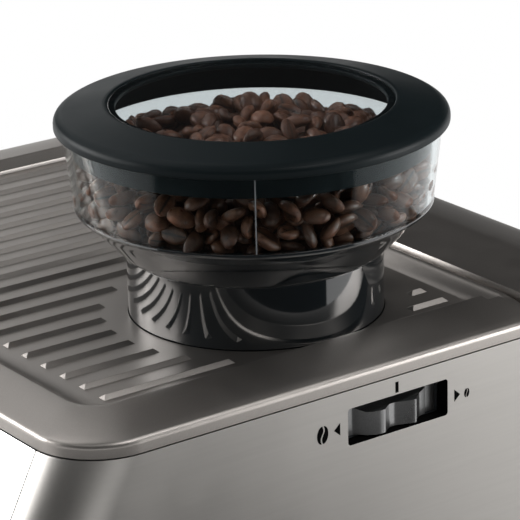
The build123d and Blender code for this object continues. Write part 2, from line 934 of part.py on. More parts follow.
def grounds_chute():
    # Sloping box from the chamber's port down to the outlet above the cradle
    half_x = chute_width / 2
    start_y = -chamber_radius() - seat_gap
    top = adjust_top() - adjust_tall - seat_gap
    low = chamber_low() + chamber_floor - chute_wall
    front = -outlet_forward - chute_deep / 2
    rear = -outlet_forward + chute_deep / 2
    foot = head_low - sheet - outlet_reach
    side = [(start_y, top), (rear, top), (front, head_low + chute_deep), (front, foot), (rear, foot),
            (rear, head_low), (start_y, low)]
    outer = Pos(hopper_x - half_x + chute_gap, 0, 0) * extrude(
        make_face(Polyline(*[(0, y, z) for y, z in side], close=True)),
        chute_width - chute_gap * 2, dir=(1, 0, 0))
    inner_side = [(start_y + overrun, top - chute_wall), (rear + chute_wall, top - chute_wall),
                  (front + chute_wall, head_low + chute_deep - chute_wall),
                  (front + chute_wall, foot - overrun),
                  (rear - chute_wall, foot - overrun), (rear - chute_wall, head_low + chute_wall),
                  (start_y + overrun, low + chute_wall)]
    inner = Pos(hopper_x - half_x + chute_wall, 0, 0) * extrude(
        make_face(Polyline(*[(0, y, z) for y, z in inner_side], close=True)),
        chute_width - chute_wall * 2, dir=(1, 0, 0))
    return outer - inner


def cradle_top():
    return head_low - sheet


def grinder_cradle():
    # Fork that holds a filter holder under the grinder's outlet
    high = cradle_top()
    low = high - cradle_tall
    outer = cradle_inner + cradle_wall
    y = -outlet_forward
    body = ring(outer, cradle_inner, low, high, hopper_x, y)
    body += ring(outer, cradle_inner - cradle_shelf_reach, low, low + cradle_shelf, hopper_x, y)
    mouth = cradle_inner * cradle_mouth_share
    front = block((hopper_x - outer - overrun, hopper_x + outer + overrun),
                  (y - outer - overrun, y - mouth), (low - overrun, high + overrun))
    guide_z = low + cradle_tall / 2
    guide_outer = trigger_radius + collar_wall
    guide = rod_along(guide_outer, (hopper_x, y + outer - cradle_wall / 2, guide_z),
                      (hopper_x, column_front, guide_z))
    bore = rod_along(trigger_radius + running, (hopper_x, y + cradle_inner - overrun, guide_z),
                     (hopper_x, column_front, guide_z))
    return body - front + guide - bore


def trigger_start():
    return -outlet_forward + cradle_inner - trigger_proud


def cradle_trigger():
    guide_z = cradle_top() - cradle_tall / 2
    y = trigger_start()
    rear = column_front - trigger_travel - seat_gap
    return rod_along(trigger_radius, (hopper_x, y, guide_z), (hopper_x, rear, guide_z))


def group_low():
    return head_low - group_skirt


def group_ceiling():
    return group_low() + group_lip + groove_tall + gasket_thick + lug_tall / 2


def group_head():
    low = group_low()
    high = head_low + group_top
    ceiling = group_ceiling()
    outline = [(group_lip_radius, low), (group_radius - sheet, low), (group_radius - running, low + sheet),
               (group_radius - running, high), (0, high), (0, ceiling), (group_lip_radius, ceiling),
               (group_lip_radius, low + group_lip + groove_tall),
               (groove_radius, low + group_lip + groove_tall),
               (groove_radius, low + group_lip), (group_lip_radius, low + group_lip)]
    body = turned(outline, group_x, group_y)
    body -= rod(screw_radius + running, ceiling - overrun, ceiling + overrun * 2, group_x, group_y)
    for turn in range(lug_count):
        angle = 360 / lug_count * turn + 180 / lug_count
        body -= holder_lug(angle, low - overrun, low + group_lip + overrun / 2, seat_gap)
    return body


def holder_lug(angle, low, high, growth):
    # One bayonet ear of the filter holder, as a sector of a ring
    inner = holder_outer - lug_reach
    outer = holder_outer + lug_reach
    sector = ring(outer + growth, inner, low, high)
    half = radians(lug_sweep) / 2 + growth / outer
    reach = outer * 2
    wedge = [(0, 0), (reach * cos(half), -reach * sin(half)), (reach * cos(half), reach * sin(half))]
    prism = extrude(make_face(Polyline(*wedge, close=True)), high - low + overrun * 2)
    prism = Pos(0, 0, low - overrun) * prism
    return Pos(group_x, group_y, 0) * Rot(0, 0, angle) * (sector & prism)


def group_gasket():
    ceiling = group_ceiling()
    outer = group_lip_radius - running * 2
    return ring(outer, gasket_inner, ceiling - gasket_thick, ceiling, group_x, group_y)


def shower_screen():
    # Perforated disc, with the screw that holds it up
    high = group_ceiling() - gasket_thick + screen_thick * 2
    low = high - screen_thick
    disc = rod(screen_radius, low, high, group_x, group_y)
    for row in range(screen_row_count):
        radius = screen_radius * (row + 1) / (screen_row_count + 1)
        count = screen_first_count * (row + 1)
        for turn in range(count):
            angle = 2 * pi * turn / count
            disc -= rod(screen_hole, low - overrun, high + overrun, group_x + radius * cos(angle),
                        group_y + radius * sin(angle))
    shank = rod(screw_radius, low, group_ceiling() + overrun, group_x, group_y)
    head = rod(screw_head, low - screw_head_tall, low, group_x, group_y)
    spacer = ring(screw_head, screw_radius, high, group_ceiling(), group_x, group_y)
    return disc + shank + head + spacer


def basket_top():
    return group_ceiling() - gasket_thick - seat_gap


def filter_basket():
    high = basket_top()
    low = high - filter_deep
    outline = [(0, low), (filter_radius - sheet, low), (filter_radius, low + sheet),
               (filter_radius, high - filter_wall),
               (filter_rim, high - filter_wall), (filter_rim, high), (filter_radius - filter_wall, high),
               (filter_radius - filter_wall, low + sheet),
               (filter_radius - sheet - filter_wall, low + filter_wall),
               (0, low + filter_wall)]
    return turned(outline, group_x, group_y)


def holder_top():
    return basket_top() - filter_wall


def portafilter_body():
    high = holder_top()
    low = high - holder_deep
    outline = [(0, low), (holder_outer - holder_floor * 2, low), (holder_outer, low + holder_floor * 2),
               (holder_outer, high), (holder_inner, high), (holder_inner, low + holder_floor * 2),
               (holder_inner - holder_floor, low + holder_floor), (0, low + holder_floor)]
    body = turned(outline, group_x, group_y)
    lug_low = group_low() + group_lip + seat_gap
    for turn in range(lug_count):
        body += holder_lug(360 / lug_count * turn + 90, lug_low, lug_low + lug_tall, 0) - rod(
            holder_inner + running, lug_low - overrun, lug_low + overrun * 2, group_x, group_y)
    z = handle_height()
    near = group_y - holder_outer + holder_floor / 2
    body += rod_along(neck_rod_radius, (group_x, near, z), (group_x, near - neck_rod_long, z))
    for side in (-1, 1):
        body -= rod(spout_hole, low - overrun, low + overrun, group_x + side * spout_radius / 2, group_y)
    return body


def handle_height():
    return holder_top() - grip_drop


def portafilter_handle():
    z = handle_height()
    near = group_y - holder_outer + holder_floor / 2 - neck_rod_long
    outline = [(0, 0), (grip_slim, 0), (grip_slim, -grip_long * grip_waist_share),
               (grip_full, -grip_long * grip_full_share),
               (grip_full * grip_round_share, -grip_long * grip_shoulder_share),
               (grip_tip, -grip_long), (0, -grip_long)]
    points = [(group_x + radius, near + y, z) for radius, y in outline]
    grip = revolve(make_face(Polyline(*points, close=True)), Axis((group_x, near, z), (0, 1, 0)))
    return grip


def portafilter_spouts():
    # Twin spout screwed under the filter holder
    high = holder_top() - holder_deep
    low = high - spout_drop
    hub_low = high - spout_hub_tall
    hub = ring(spout_radius + spout_wall, spout_radius, hub_low, high, group_x, group_y)
    floor = rod(spout_radius + spout_wall, hub_low - spout_wall, hub_low, group_x, group_y)
    spouts = hub + floor
    for side in (-1, 1):
        x = group_x + side * spout_spread
        pipe = rod(spout_radius / 2 + spout_wall, low, high - spout_pipe_top, x, group_y)
        arm = block(tuple(sorted((group_x + side * spout_radius, x))),
                    (group_y - spout_radius / 2, group_y + spout_radius / 2),
                    (high - spout_arm_low, high - spout_pipe_top))
        spouts += pipe + arm
    for side in (-1, 1):
        x = group_x + side * spout_spread
        spouts -= rod(spout_radius / 2, low - overrun, high - spout_pipe_roof, x, group_y)
        near, far = sorted((group_x + side * spout_radius / 2, x))
        half_way = spout_radius / 2 - spout_wall
        spouts -= block((near, far), (group_y - half_way, group_y + half_way),
                        (high - spout_way_low, hub_low + seat_gap))
    return spouts


def ball_height():
    return head_low - sheet - socket_tall / 2


def wand_socket():
    # Collar under the head that grips the wand's ball
    low = head_low - sheet - socket_tall
    high = head_low + socket_stem
    z = ball_height()
    body = ring(socket_radius, ball_radius + running, low + socket_mouth, head_low - sheet, wand_x, wand_y)
    stem = ring(socket_radius - socket_wall - running, ball_radius - socket_wall, head_low - sheet, high,
                wand_x, wand_y)
    ball = Pos(wand_x, wand_y, z) * Sphere(ball_radius + running)
    return body + stem - ball


def wand_points():
    start = (wand_x, wand_y, ball_height())
    drop = ball_height() - wand_drop
    return start, (wand_x, wand_y, start[2] - wand_stem), (wand_x, wand_y - wand_out, drop)


def steam_wand():
    start, knee, end = wand_points()
    path = FilletPolyline(start, knee, end, radius=hose_bend)
    pipe = sweep(Plane(origin=start, z_dir=(0, 0, -1)) * Circle(wand_radius), path)
    return pipe + Pos(*start) * Sphere(ball_radius)


def wand_line(share):
    start, knee, end = wand_points()
    return tuple(Vector(*knee) + (Vector(*end) - Vector(*knee)) * share)


def wand_grip():
    start, knee, end = wand_points()
    length = (Vector(*end) - Vector(*knee)).length
    near_share = grip_place_share
    far_share = near_share + wand_grip_long / length
    over_share = overrun / length
    sleeve = rod_along(grip_radius, wand_line(near_share), wand_line(far_share))
    return sleeve - rod_along(wand_radius, wand_line(near_share - over_share),
                              wand_line(far_share + over_share))


def steam_tip():
    start, knee, end = wand_points()
    length = (Vector(*end) - Vector(*knee)).length
    tip_share = tip_long / length
    tip = rod_along(tip_radius, end, wand_line(1 + tip_share))
    return tip - rod_along(tip_hole, wand_line(1 + tip_share / 2),
                           wand_line(1 + tip_share + overrun / length))


def knob(x, up):
    # Fluted knob with a spindle through the fascia
    body = fascia_rod(knob_radius, x, up, knob_gap, knob_tall)
    plane = fascia_plane(x, up, knob_gap)
    from_base = (Align.CENTER, Align.CENTER, Align.MIN)
    for turn in range(knob_flute_count):
        cut = Rot(0, 0, 360 / knob_flute_count * turn) * Pos(knob_radius, 0, knob_gap * 2)
        body -= plane.location * cut * Cylinder(knob_cut, knob_tall, align=from_base)
    return body + fascia_rod(knob_spindle, x, up, -knob_stem, knob_gap)


def push_button(x):
    cap = fascia_rod(button_radius, x, button_rise, -button_long, button_proud)
    flange = fascia_rod(button_radius + button_flange, x, button_rise,
                        -sheet - seat_gap - button_flange_thick, -sheet - seat_gap)
    return cap + flange


def gauge_case():
    x, up = gauge_x, gauge_up
    bezel = fascia_ring(gauge_radius + gauge_bezel, gauge_radius - gauge_bezel, x, up, 0, gauge_proud)
    wall = fascia_ring(gauge_radius - running, gauge_radius - gauge_bezel, x, up, -gauge_deep, 0)
    floor = fascia_rod(gauge_radius - gauge_bezel, x, up, -gauge_deep, -gauge_bezel)
    pin = fascia_rod(dial_pin, x, up, -gauge_bezel, -gauge_bezel + hub_tall / 2)
    return bezel + wall + floor + pin


def gauge_glass():
    return fascia_rod(gauge_radius - gauge_bezel - running, gauge_x, gauge_up,
                      gauge_proud - glass_sunk - glass_thick, gauge_proud - glass_sunk)


def gauge_needle():
    plane = fascia_plane(gauge_x, gauge_up, -gauge_bezel + seat_gap)
    low = (Align.CENTER, Align.CENTER, Align.MIN)
    blade = [(-needle_tail, -needle_width), (-needle_tail, needle_width), (needle_long, 0)]
    body = extrude(make_face(Polyline(*blade, close=True)), needle_thick)
    body += Cylinder(needle_hub, hub_tall, align=low)
    body -= Cylinder(dial_pin + running, hub_tall, align=low)
    return plane.location * Rot(0, 0, needle_start) * body


def control_board():
    # Circuit board behind the fascia, on four spacers
    rise = fascia_height / cos(lean)
    half = wrap_x - board_margin
    middle = rise * (board_low_share + board_high_share) / 2
    plane = fascia_plane(0, middle, -sheet - board_gap - board_thick)
    size = rise * (board_high_share - board_low_share) + board_edge * 2
    from_base = (Align.CENTER, Align.CENTER, Align.MIN)
    plate = plane.location * Box(half * 2, size, board_thick, align=from_base)
    for x, up in ((steam_knob_x, steam_knob_up), (amount_dial_x, amount_dial_up)):
        plate -= fascia_rod(knob_spindle + seat_gap, x, up, -knob_stem - overrun, 0)
    for side in (-1, 1):
        for share in (board_low_share, board_high_share):
            plate += fascia_rod(spacer_radius, side * (half - board_edge), rise * share,
                                -sheet - board_gap, -sheet)
    return plate


def thermoblock():
    # Cast heating block bolted on the brewing group
    low = head_low + group_top
    high = low + block_tall
    x = (group_x - block_width / 2, group_x + block_width / 2)
    y = (group_y, group_y + block_deep)
    body = block(x, y, (low, high))
    step = block_width / (block_fin_count + 1)
    for fin in range(block_fin_count):
        middle = x[0] + step * (fin + 1)
        body -= block((middle - fin_gap / 2, middle + fin_gap / 2), (y[0] - overrun, y[1] + overrun),
                      (high - fin_deep, high + overrun))
    return body


def pump():
    half = pump_long / 2
    body = rod_along(pump_radius, (pump_x - half, pump_y, pump_z), (pump_x + half, pump_y, pump_z))
    reach = half + pump_nose_long
    return body + rod_along(pump_nose, (pump_x - reach, pump_y, pump_z), (pump_x + reach, pump_y, pump_z))


def pump_mounts():
    # Two rubber stands that hold the pump on the floor bracket
    stands = []
    floor = base_height + bulkhead_thick
    for side in (-1, 1):
        x = pump_x + side * mount_spread / 2
        limits = (x - mount_wide / 2, x + mount_wide / 2)
        stand = block(limits, (pump_y - pump_radius, pump_y + pump_radius), (floor, pump_z))
        stand -= rod_along(pump_radius, (limits[0] - overrun, pump_y, pump_z),
                           (limits[1] + overrun, pump_y, pump_z))
        stands.append(stand.solid())
    return Compound(stands)


def hose(points):
    path = FilletPolyline(*points, radius=hose_bend)
    start = Vector(*points[0])
    ahead = Vector(*points[1]) - start
    return sweep(Plane(origin=start, z_dir=ahead.normalized()) * Circle(hose_radius), path)


def water_hoses():
    # Suction hose from the tank's outlet to the pump, and pressure hose from the pump to the block
    outlet = (tank_outlet_x, tank_middle_y(), tank_shelf - outlet_drop)
    below = (outlet[0], outlet[1], pump_z)
    pump_in = (pump_x - pump_long / 2 - pump_nose_long, pump_y, pump_z)
    suction = hose([outlet, below, (outlet[0], pump_y, pump_z), pump_in])
    pump_out = (pump_x + pump_long / 2 + pump_nose_long, pump_y, pump_z)
    turn_x = pump_out[0] + hose_bend + hose_lead
    cross_z = pump_z + pump_radius + hose_bend
    block_rear = group_y + block_deep
    entry_z = head_low + group_top + block_tall / 2
    pressure = hose([pump_out, (turn_x, pump_y, pump_z), (turn_x, pump_y, cross_z),
                     (group_x, pump_y, cross_z), (group_x, pump_y, entry_z),
                     (group_x, block_rear, entry_z)])
    return Compound([suction.solid(), pressure.solid()])


def slider_outline(length, thick):
    # Wavy face in plan: a row of finger grooves, drawn as arcs
    step = length / wave_count
    start = -length / 2
    edges = []
    for wave in range(wave_count):
        a = start + step * wave
        edges.append(ThreePointArc((thick, a), (thick - wave_depth, a + step / 2), (thick, a + step)))
    back = Polyline((thick, -start), (0, -start), (0, start), (thick, start))
    return make_face(edges + list(back.edges()))


def grind_slider():
    x = half_width - slider_thick
    tall = slot_height - slide_gap * 2
    wave = extrude(slider_outline(slider_length, slider_thick), tall)
    wave = Pos(x, slot_centre_y, slot_height_centre - tall / 2) * wave
    back_half = slot_height / 2 + rail_grip
    back = block((x - slider_back, x), (slot_centre_y - slot_length / 2, slot_centre_y + slot_length / 2),
                 (slot_height_centre - back_half, slot_height_centre + back_half))
    peg_x = hopper_x + arm_radius()
    peg_low = adjust_top() - adjust_tall - peg_below
    peg = rod(peg_radius, peg_low, peg_low + peg_tall, peg_x, hopper_y)
    neck = block((peg_x - peg_radius, x - slider_back), (hopper_y - peg_radius, hopper_y + peg_radius),
                 (peg_low + peg_tall, peg_low + peg_tall + peg_neck_tall))
    return wave + back + peg + neck


def slider_rail():
    # Channel behind the panel that the slider's back plate runs in
    x = half_width - slider_thick
    reach_y = slot_length / 2 + slider_travel + rail_grip
    low = slot_height_centre - slot_height / 2 - rail_grip - rail_thick
    high = slot_height_centre + slot_height / 2 + rail_grip + rail_thick
    body = block((x - slider_back - seat_gap, panel_inner),
                 (slot_centre_y - reach_y, slot_centre_y + reach_y), (low, high))
    room_y = reach_y - rail_grip + seat_gap
    room = block((x - slider_back - overrun, x + seat_gap),
                 (slot_centre_y - room_y, slot_centre_y + room_y),
                 (low + rail_thick - seat_gap, high - rail_thick + seat_gap))
    return body - room - panel_slot(0, x - overrun, half_width)


def drip_floor():
    return foot_height + base_floor + tray_slide_gap


def drip_tray():
    half_x = half_width - base_wall - tray_slide_gap
    rear = tray_bay_rear - tray_slide_gap
    tub = block((-half_x, half_x), (base_front - tray_slide_gap, rear), (drip_floor(), tray_top))
    tub -= block((-half_x + tray_skin, half_x - tray_skin), (base_front + tray_skin, rear - tray_skin),
                 (drip_floor() + tray_skin, tray_top + overrun))
    for side in (-1, 1):
        ledge = sorted((side * (half_x - tray_skin), side * (half_x - tray_skin - grid_ledge)))
        tub += block(tuple(ledge), (base_front, rear),
                     (tray_top - grid_thick - grid_ledge, tray_top - grid_thick - seat_gap))
    front = base_front - tray_slide_gap
    face = plan_slab(half_width, front - tray_face, front, base_corner - sheet, sheet / 2,
                     tray_face_low, tray_face_top)
    middle = (tray_face_low + tray_face_top) / 2
    dish = rod_along(pull_radius, (0, front - tray_face - overrun, middle),
                     (0, front - tray_face + pull_deep, middle))
    guide_floor = drip_floor() + tray_skin
    guide = ring(float_radius + float_hole_gap + tray_skin, float_radius + float_hole_gap,
                 guide_floor - running, guide_floor + float_tall / 2, float_x, float_y)
    return tub + (face - dish) + guide


def drip_grid():
    half_x = half_width - base_wall - tray_slide_gap - tray_skin - seat_gap
    front = base_front + tray_skin + seat_gap
    rear = tray_bay_rear - tray_slide_gap - tray_skin - seat_gap
    low, high = tray_top - grid_thick, tray_top
    plate = block((-half_x, half_x), (front, rear), (low, high))
    count = int((half_x * 2 - grid_margin * 2) / (grid_slot + grid_bar))
    span = count * (grid_slot + grid_bar) - grid_bar
    middle = (front + rear) / 2
    bands = ((front + grid_margin, middle - grid_bridge / 2),
             (middle + grid_bridge / 2, rear - grid_margin))
    hole_reach = float_stem + float_hole_gap + grid_bar / 2
    for slot in range(count):
        x = -span / 2 + slot * (grid_slot + grid_bar)
        for near, far in bands:
            if abs(x + grid_slot / 2 - float_x) < hole_reach + grid_slot and far > float_y:
                near = float_y + hole_reach if near > middle else near
            plate -= block((x, x + grid_slot), (near, far), (low - overrun, high + overrun))
    return plate - rod(float_stem + float_hole_gap, low - overrun, high + overrun, float_x, float_y)


def drip_float():
    low = drip_floor() + tray_skin + seat_gap
    high = tray_top - grid_thick - float_travel - seat_gap
    body = rod(float_radius, low, high, float_x, float_y)
    return body + rod(float_stem, high, tray_top - float_below_grid, float_x, float_y)


rib_first = (rib_count - 1) / 2 * rib_pitch - hopper_x
front_reach = -(group_y - holder_outer + holder_floor / 2 - neck_rod_long - grip_long)
rear_reach = half_depth + gland_flange_thick
origin_shift = (front_reach - rear_reach) / 2

pieces = {
    "top_cover": top_cover,
    "tank_lid": tank_lid,
    "front_fascia": front_fascia,
    "side_panel_right": lambda: side_panel(1),
    "side_panel_left": lambda: side_panel(-1),
    "rear_panel": rear_panel,
    "splash_wall": splash_wall,
    "head_underside": head_underside,
    "base_housing": base_housing,
    "rubber_feet": rubber_feet,
    "inner_frame": inner_frame,
    "mains_gland": mains_gland,
    "casing_screws": casing_screws,
    "hopper_lid_ring": hopper_lid_ring,
    "hopper_lid_window": hopper_lid_window,
    "hopper_bowl": hopper_bowl,
    "hopper_neck": hopper_neck,
    "throat_ring": throat_ring,
    "grind_slider": grind_slider,
    "slider_rail": slider_rail,
    "adjust_ring": adjust_ring,
    "upper_burr": upper_burr,
    "lower_burr": lower_burr,
    "burr_shaft": burr_shaft,
    "impeller": impeller,
    "grinder_housing": grinder_housing,
    "drive_gear": drive_gear,
    "motor_pinion": motor_pinion,
    "grinder_motor": grinder_motor,
    "grounds_chute": grounds_chute,
    "grinder_cradle": grinder_cradle,
    "cradle_trigger": cradle_trigger,
    "group_head": group_head,
    "group_gasket": group_gasket,
    "shower_screen": shower_screen,
    "filter_basket": filter_basket,
    "portafilter_body": portafilter_body,
    "portafilter_handle": portafilter_handle,
    "portafilter_spouts": portafilter_spouts,
    "thermoblock": thermoblock,
    "pump": pump,
    "pump_mounts": pump_mounts,
    "water_hoses": water_hoses,
    "control_board": control_board,
    "wand_socket": wand_socket,
    "steam_wand": steam_wand,
    "wand_grip": wand_grip,
    "steam_tip": steam_tip,
    "steam_knob": lambda: knob(steam_knob_x, steam_knob_up),
    "amount_dial": lambda: knob(amount_dial_x, amount_dial_up),
    "power_button": lambda: push_button(power_x),
    "one_cup_button": lambda: push_button(one_cup_x),
    "two_cup_button": lambda: push_button(two_cup_x),
    "gauge_case": gauge_case,
    "gauge_glass": gauge_glass,
    "gauge_needle": gauge_needle,
    "water_tank": water_tank,
    "drip_tray": drip_tray,
    "drip_grid": drip_grid,
    "drip_float": drip_float,
}

os.makedirs("parts", exist_ok=True)
for name, make in pieces.items():
    piece = Pos(0, origin_shift, 0) * make()
    export_step(piece, os.path.join("parts", name + ".step"))
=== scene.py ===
import itertools
import json
import math
import random

import bmesh
import bpy
from mathutils import Matrix, Vector


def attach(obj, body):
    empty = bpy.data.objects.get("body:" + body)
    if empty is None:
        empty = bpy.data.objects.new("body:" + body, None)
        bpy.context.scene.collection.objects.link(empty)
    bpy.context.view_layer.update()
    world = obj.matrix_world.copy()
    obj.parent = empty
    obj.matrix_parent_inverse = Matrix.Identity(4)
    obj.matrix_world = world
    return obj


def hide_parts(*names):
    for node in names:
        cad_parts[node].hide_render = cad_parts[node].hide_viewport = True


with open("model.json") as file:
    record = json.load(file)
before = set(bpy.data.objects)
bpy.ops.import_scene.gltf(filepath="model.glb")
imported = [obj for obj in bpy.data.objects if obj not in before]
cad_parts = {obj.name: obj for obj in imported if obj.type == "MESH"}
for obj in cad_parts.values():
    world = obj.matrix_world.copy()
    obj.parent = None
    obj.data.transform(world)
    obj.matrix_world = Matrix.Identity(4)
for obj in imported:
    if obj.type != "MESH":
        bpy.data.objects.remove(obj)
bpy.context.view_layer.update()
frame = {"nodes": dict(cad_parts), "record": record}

print("frame loaded:", len(frame["nodes"]), "nodes")


# Mesh helpers
meshRules = {
    "merge": 0.000004, "cadMerge": 0.00001, "spinMerge": 0.000002, "onAxis": 0.0000005, "cut": 0.000001,
    "flatWeight": 60, "softSteps": 2, "softSharp": 30, "softFlat": 1.0, "sharp": 32,
}


def keepFlat(piece):
    # Large flat faces keep their own normal beside rounded edges
    flatter = piece.modifiers.new("flatFaces", "WEIGHTED_NORMAL")
    flatter.keep_sharp = True
    flatter.weight = meshRules["flatWeight"]


def placeMesh(name, bm):
    # An object in the scene from a bmesh
    mesh = bpy.data.meshes.new(name)
    bm.to_mesh(mesh)
    bm.free()
    thing = bpy.data.objects.new(name, mesh)
    bpy.context.scene.collection.objects.link(thing)
    return thing


def addPiece(name, bm, body, slotName=None, nodes=(), finish=None, angle=meshRules["sharp"],
             merge=meshRules["merge"], outward=True, flat=True):
    # Turn a bmesh into a finished piece that rides on a body and may stand for CAD nodes
    bmesh.ops.remove_doubles(bm, verts=bm.verts, dist=merge)
    bmesh.ops.dissolve_degenerate(bm, edges=bm.edges, dist=merge / 4)
    if outward:
        bmesh.ops.recalc_face_normals(bm, faces=bm.faces)
    piece = placeMesh(name, bm)
    for face in piece.data.polygons:
        face.use_smooth = True
    piece.data.set_sharp_from_angle(angle=math.radians(angle))
    piece.data.materials.append(finish or slotFinish[slotName])
    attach(piece, body)
    if nodes:
        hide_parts(*nodes)
    if flat:
        keepFlat(piece)
    return piece


def roundCorner(bm, corner, radius, segments):
    # Round one corner of a flat face
    bmesh.ops.bevel(bm, geom=[corner], offset=radius, offset_type="OFFSET", segments=segments,
                    profile=0.5, affect="VERTICES", material=-1)


def outlineLoop(bm, corners, segments):
    # The edges of a flat shape with (x, y, z, rounding) corners, without its face
    before = set(bm.edges)
    known = set(bm.faces)
    verts = [bm.verts.new(corner[:3]) for corner in corners]
    bm.faces.new(verts)
    for vert, corner in zip(verts, corners):
        if corner[3] > 0:
            roundCorner(bm, vert, corner[3], segments)
    bmesh.ops.delete(bm, geom=[face for face in bm.faces if face not in known], context="FACES_ONLY")
    return [edge for edge in bm.edges if edge not in before]


def planCorners(halfX, front, rear, frontRound, rearRound, z):
    return [(-halfX, front, z, frontRound), (halfX, front, z, frontRound),
            (halfX, rear, z, rearRound), (-halfX, rear, z, rearRound)]


def bridge(bm, first, second):
    bmesh.ops.bridge_loops(bm, edges=first + second)


def fillLoop(bm, edges):
    bmesh.ops.triangle_fill(bm, use_beauty=True, use_dissolve=False, edges=edges)


def extrudeFace(bm, face, along):
    # Pull a face out into a solid and give back its moved corners
    grown = bmesh.ops.extrude_face_region(bm, geom=[face])["geom"]
    ends = [item for item in grown if isinstance(item, bmesh.types.BMVert)]
    bmesh.ops.translate(bm, verts=ends, vec=along)
    return ends


def bevelEdges(bm, edges, width, segments):
    live = [edge for edge in edges if edge.is_valid]
    bmesh.ops.bevel(bm, geom=live, offset=width, offset_type="OFFSET", segments=segments,
                    profile=0.5, affect="EDGES", clamp_overlap=True, material=-1)


def sharpEdges(bm, angle):
    limit = math.radians(angle)
    return [edge for edge in bm.edges if len(edge.link_faces) == 2 and edge.calc_face_angle(0) > limit]


def spunForm(profile, spot, steps, segments):
    # A solid of revolution from (radius, height, rounding) points about the upright axis through spot
    bm = bmesh.new()
    up = Vector((0, 0, 1))
    corners = [tuple(Vector(spot) + Vector((radius, 0, height))) + (rounding,)
               for radius, height, rounding in profile]
    edges = outlineLoop(bm, corners, segments)
    onAxis = [edge for edge in edges
              if all((vert.co - Vector(spot)).cross(up).length < meshRules["onAxis"] for vert in edge.verts)]
    bmesh.ops.delete(bm, geom=onAxis, context="EDGES")
    bmesh.ops.spin(bm, geom=list(bm.edges) + list(bm.verts), cent=spot, axis=up, angle=math.tau, steps=steps,
                   use_merge=True, use_duplicate=False)
    bmesh.ops.remove_doubles(bm, verts=bm.verts, dist=meshRules["spinMerge"])
    return bm


def softCopy(node, width, before=None):
    # A merged copy of a CAD node with every sharp edge slightly rounded
    bm = bmesh.new()
    bm.from_mesh(frame["nodes"][node].data)
    bmesh.ops.remove_doubles(bm, verts=bm.verts, dist=meshRules["cadMerge"])
    bmesh.ops.dissolve_limit(bm, angle_limit=math.radians(meshRules["softFlat"]), verts=bm.verts,
                             edges=bm.edges, use_dissolve_boundaries=False, delimit=set())
    if before:
        before(bm)
    bevelEdges(bm, sharpEdges(bm, meshRules["softSharp"]), width, meshRules["softSteps"])
    return bm


# Material helpers
noiseScales = {
    "speckleCloud": 35.0, "brush": 700.0, "brushCloud": 22.0, "smear": 60.0, "wave": 18.0,
    "plasticCloud": 28.0, "ripple": 40.0, "scuff": 900.0, "beanMottle": 420.0, "beanPits": 1500.0,
    "roughness": 0.55,
}
bumpStrengths = {"speckle": 0.5, "brush": 0.35, "polish": 0.15, "plastic": 0.4, "clear": 0.08, "bean": 0.5}


def startMaterial(name, colour, metallic=0.0, roughness=0.5, **sockets):
    material = bpy.data.materials.new(name)
    material.use_nodes = True
    shader = material.node_tree.nodes["Principled BSDF"]
    shader.inputs["Base Color"].default_value = (*colour, 1.0)
    shader.inputs["Metallic"].default_value = metallic
    shader.inputs["Roughness"].default_value = roughness
    for socket, value in sockets.items():
        shader.inputs[socket.replace("_", " ")].default_value = value
    return material, shader


def addNode(owner, kind, sockets=None, **settings):
    # A new shader node with its settings and the values of its sockets
    node = owner.node_tree.nodes.new("ShaderNode" + kind)
    for name, value in settings.items():
        setattr(node, name, value)
    for name, value in (sockets or {}).items():
        node.inputs[name].default_value = value
    return node


def link(owner, source, target):
    owner.node_tree.links.new(source, target)


def noiseField(material, scale, stretch=(1, 1, 1), detail=3.0):
    # Noise read from object coordinates, stretched along the grain
    place = addNode(material, "TexCoord")
    mapping = addNode(material, "Mapping", {"Scale": stretch})
    field = addNode(material, "TexNoise", {"Scale": scale, "Detail": detail,
                                           "Roughness": noiseScales["roughness"]})
    link(material, place.outputs["Object"], mapping.inputs["Vector"])
    link(material, mapping.outputs["Vector"], field.inputs["Vector"])
    return field.outputs["Fac"]


def spreadValue(material, field, low, high, fromLow=0.3, fromHigh=0.7):
    spread = addNode(material, "MapRange", {"From Min": fromLow, "From Max": fromHigh,
                                            "To Min": low, "To Max": high})
    link(material, field, spread.inputs["Value"])
    return spread.outputs["Result"]


def blendColour(material, field, dark, light, fromLow=0.3, fromHigh=0.7):
    ramp = addNode(material, "ValToRGB")
    ramp.color_ramp.elements[0].position = fromLow
    ramp.color_ramp.elements[1].position = fromHigh
    ramp.color_ramp.elements[0].color = (*dark, 1.0)
    ramp.color_ramp.elements[1].color = (*light, 1.0)
    link(material, field, ramp.inputs["Fac"])
    return ramp.outputs["Color"]


def addBump(material, shader, field, strength, distance):
    bump = addNode(material, "Bump", {"Strength": bumpStrengths[strength], "Distance": distance})
    link(material, field, bump.inputs["Height"])
    link(material, bump.outputs["Normal"], shader.inputs["Normal"])


def shade(colour, factor):
    return tuple(channel * factor for channel in colour)


def setColour(material, shader, field, colour, tone):
    # The base colour, slightly darker and lighter with a field
    link(material, blendColour(material, field, shade(colour, 1 - tone), shade(colour, 1 + tone)),
         shader.inputs["Base Color"])


def setRough(material, shader, field, low, high, *fromEnds):
    link(material, spreadValue(material, field, low, high, *fromEnds), shader.inputs["Roughness"])


def speckledMetal(name, colour, roughness, speck=2600.0, depth=0.000012, spread=0.06, tone=0.08):
    # Satin metallic coat with a fine speckle
    material, shader = startMaterial(name, colour, 1.0, roughness)
    fine = noiseField(material, speck, detail=2.0)
    broad = noiseField(material, noiseScales["speckleCloud"], detail=2.0)
    setColour(material, shader, fine, colour, tone)
    setRough(material, shader, broad, roughness - spread, roughness + spread)
    addBump(material, shader, fine, "speckle", depth)
    return material


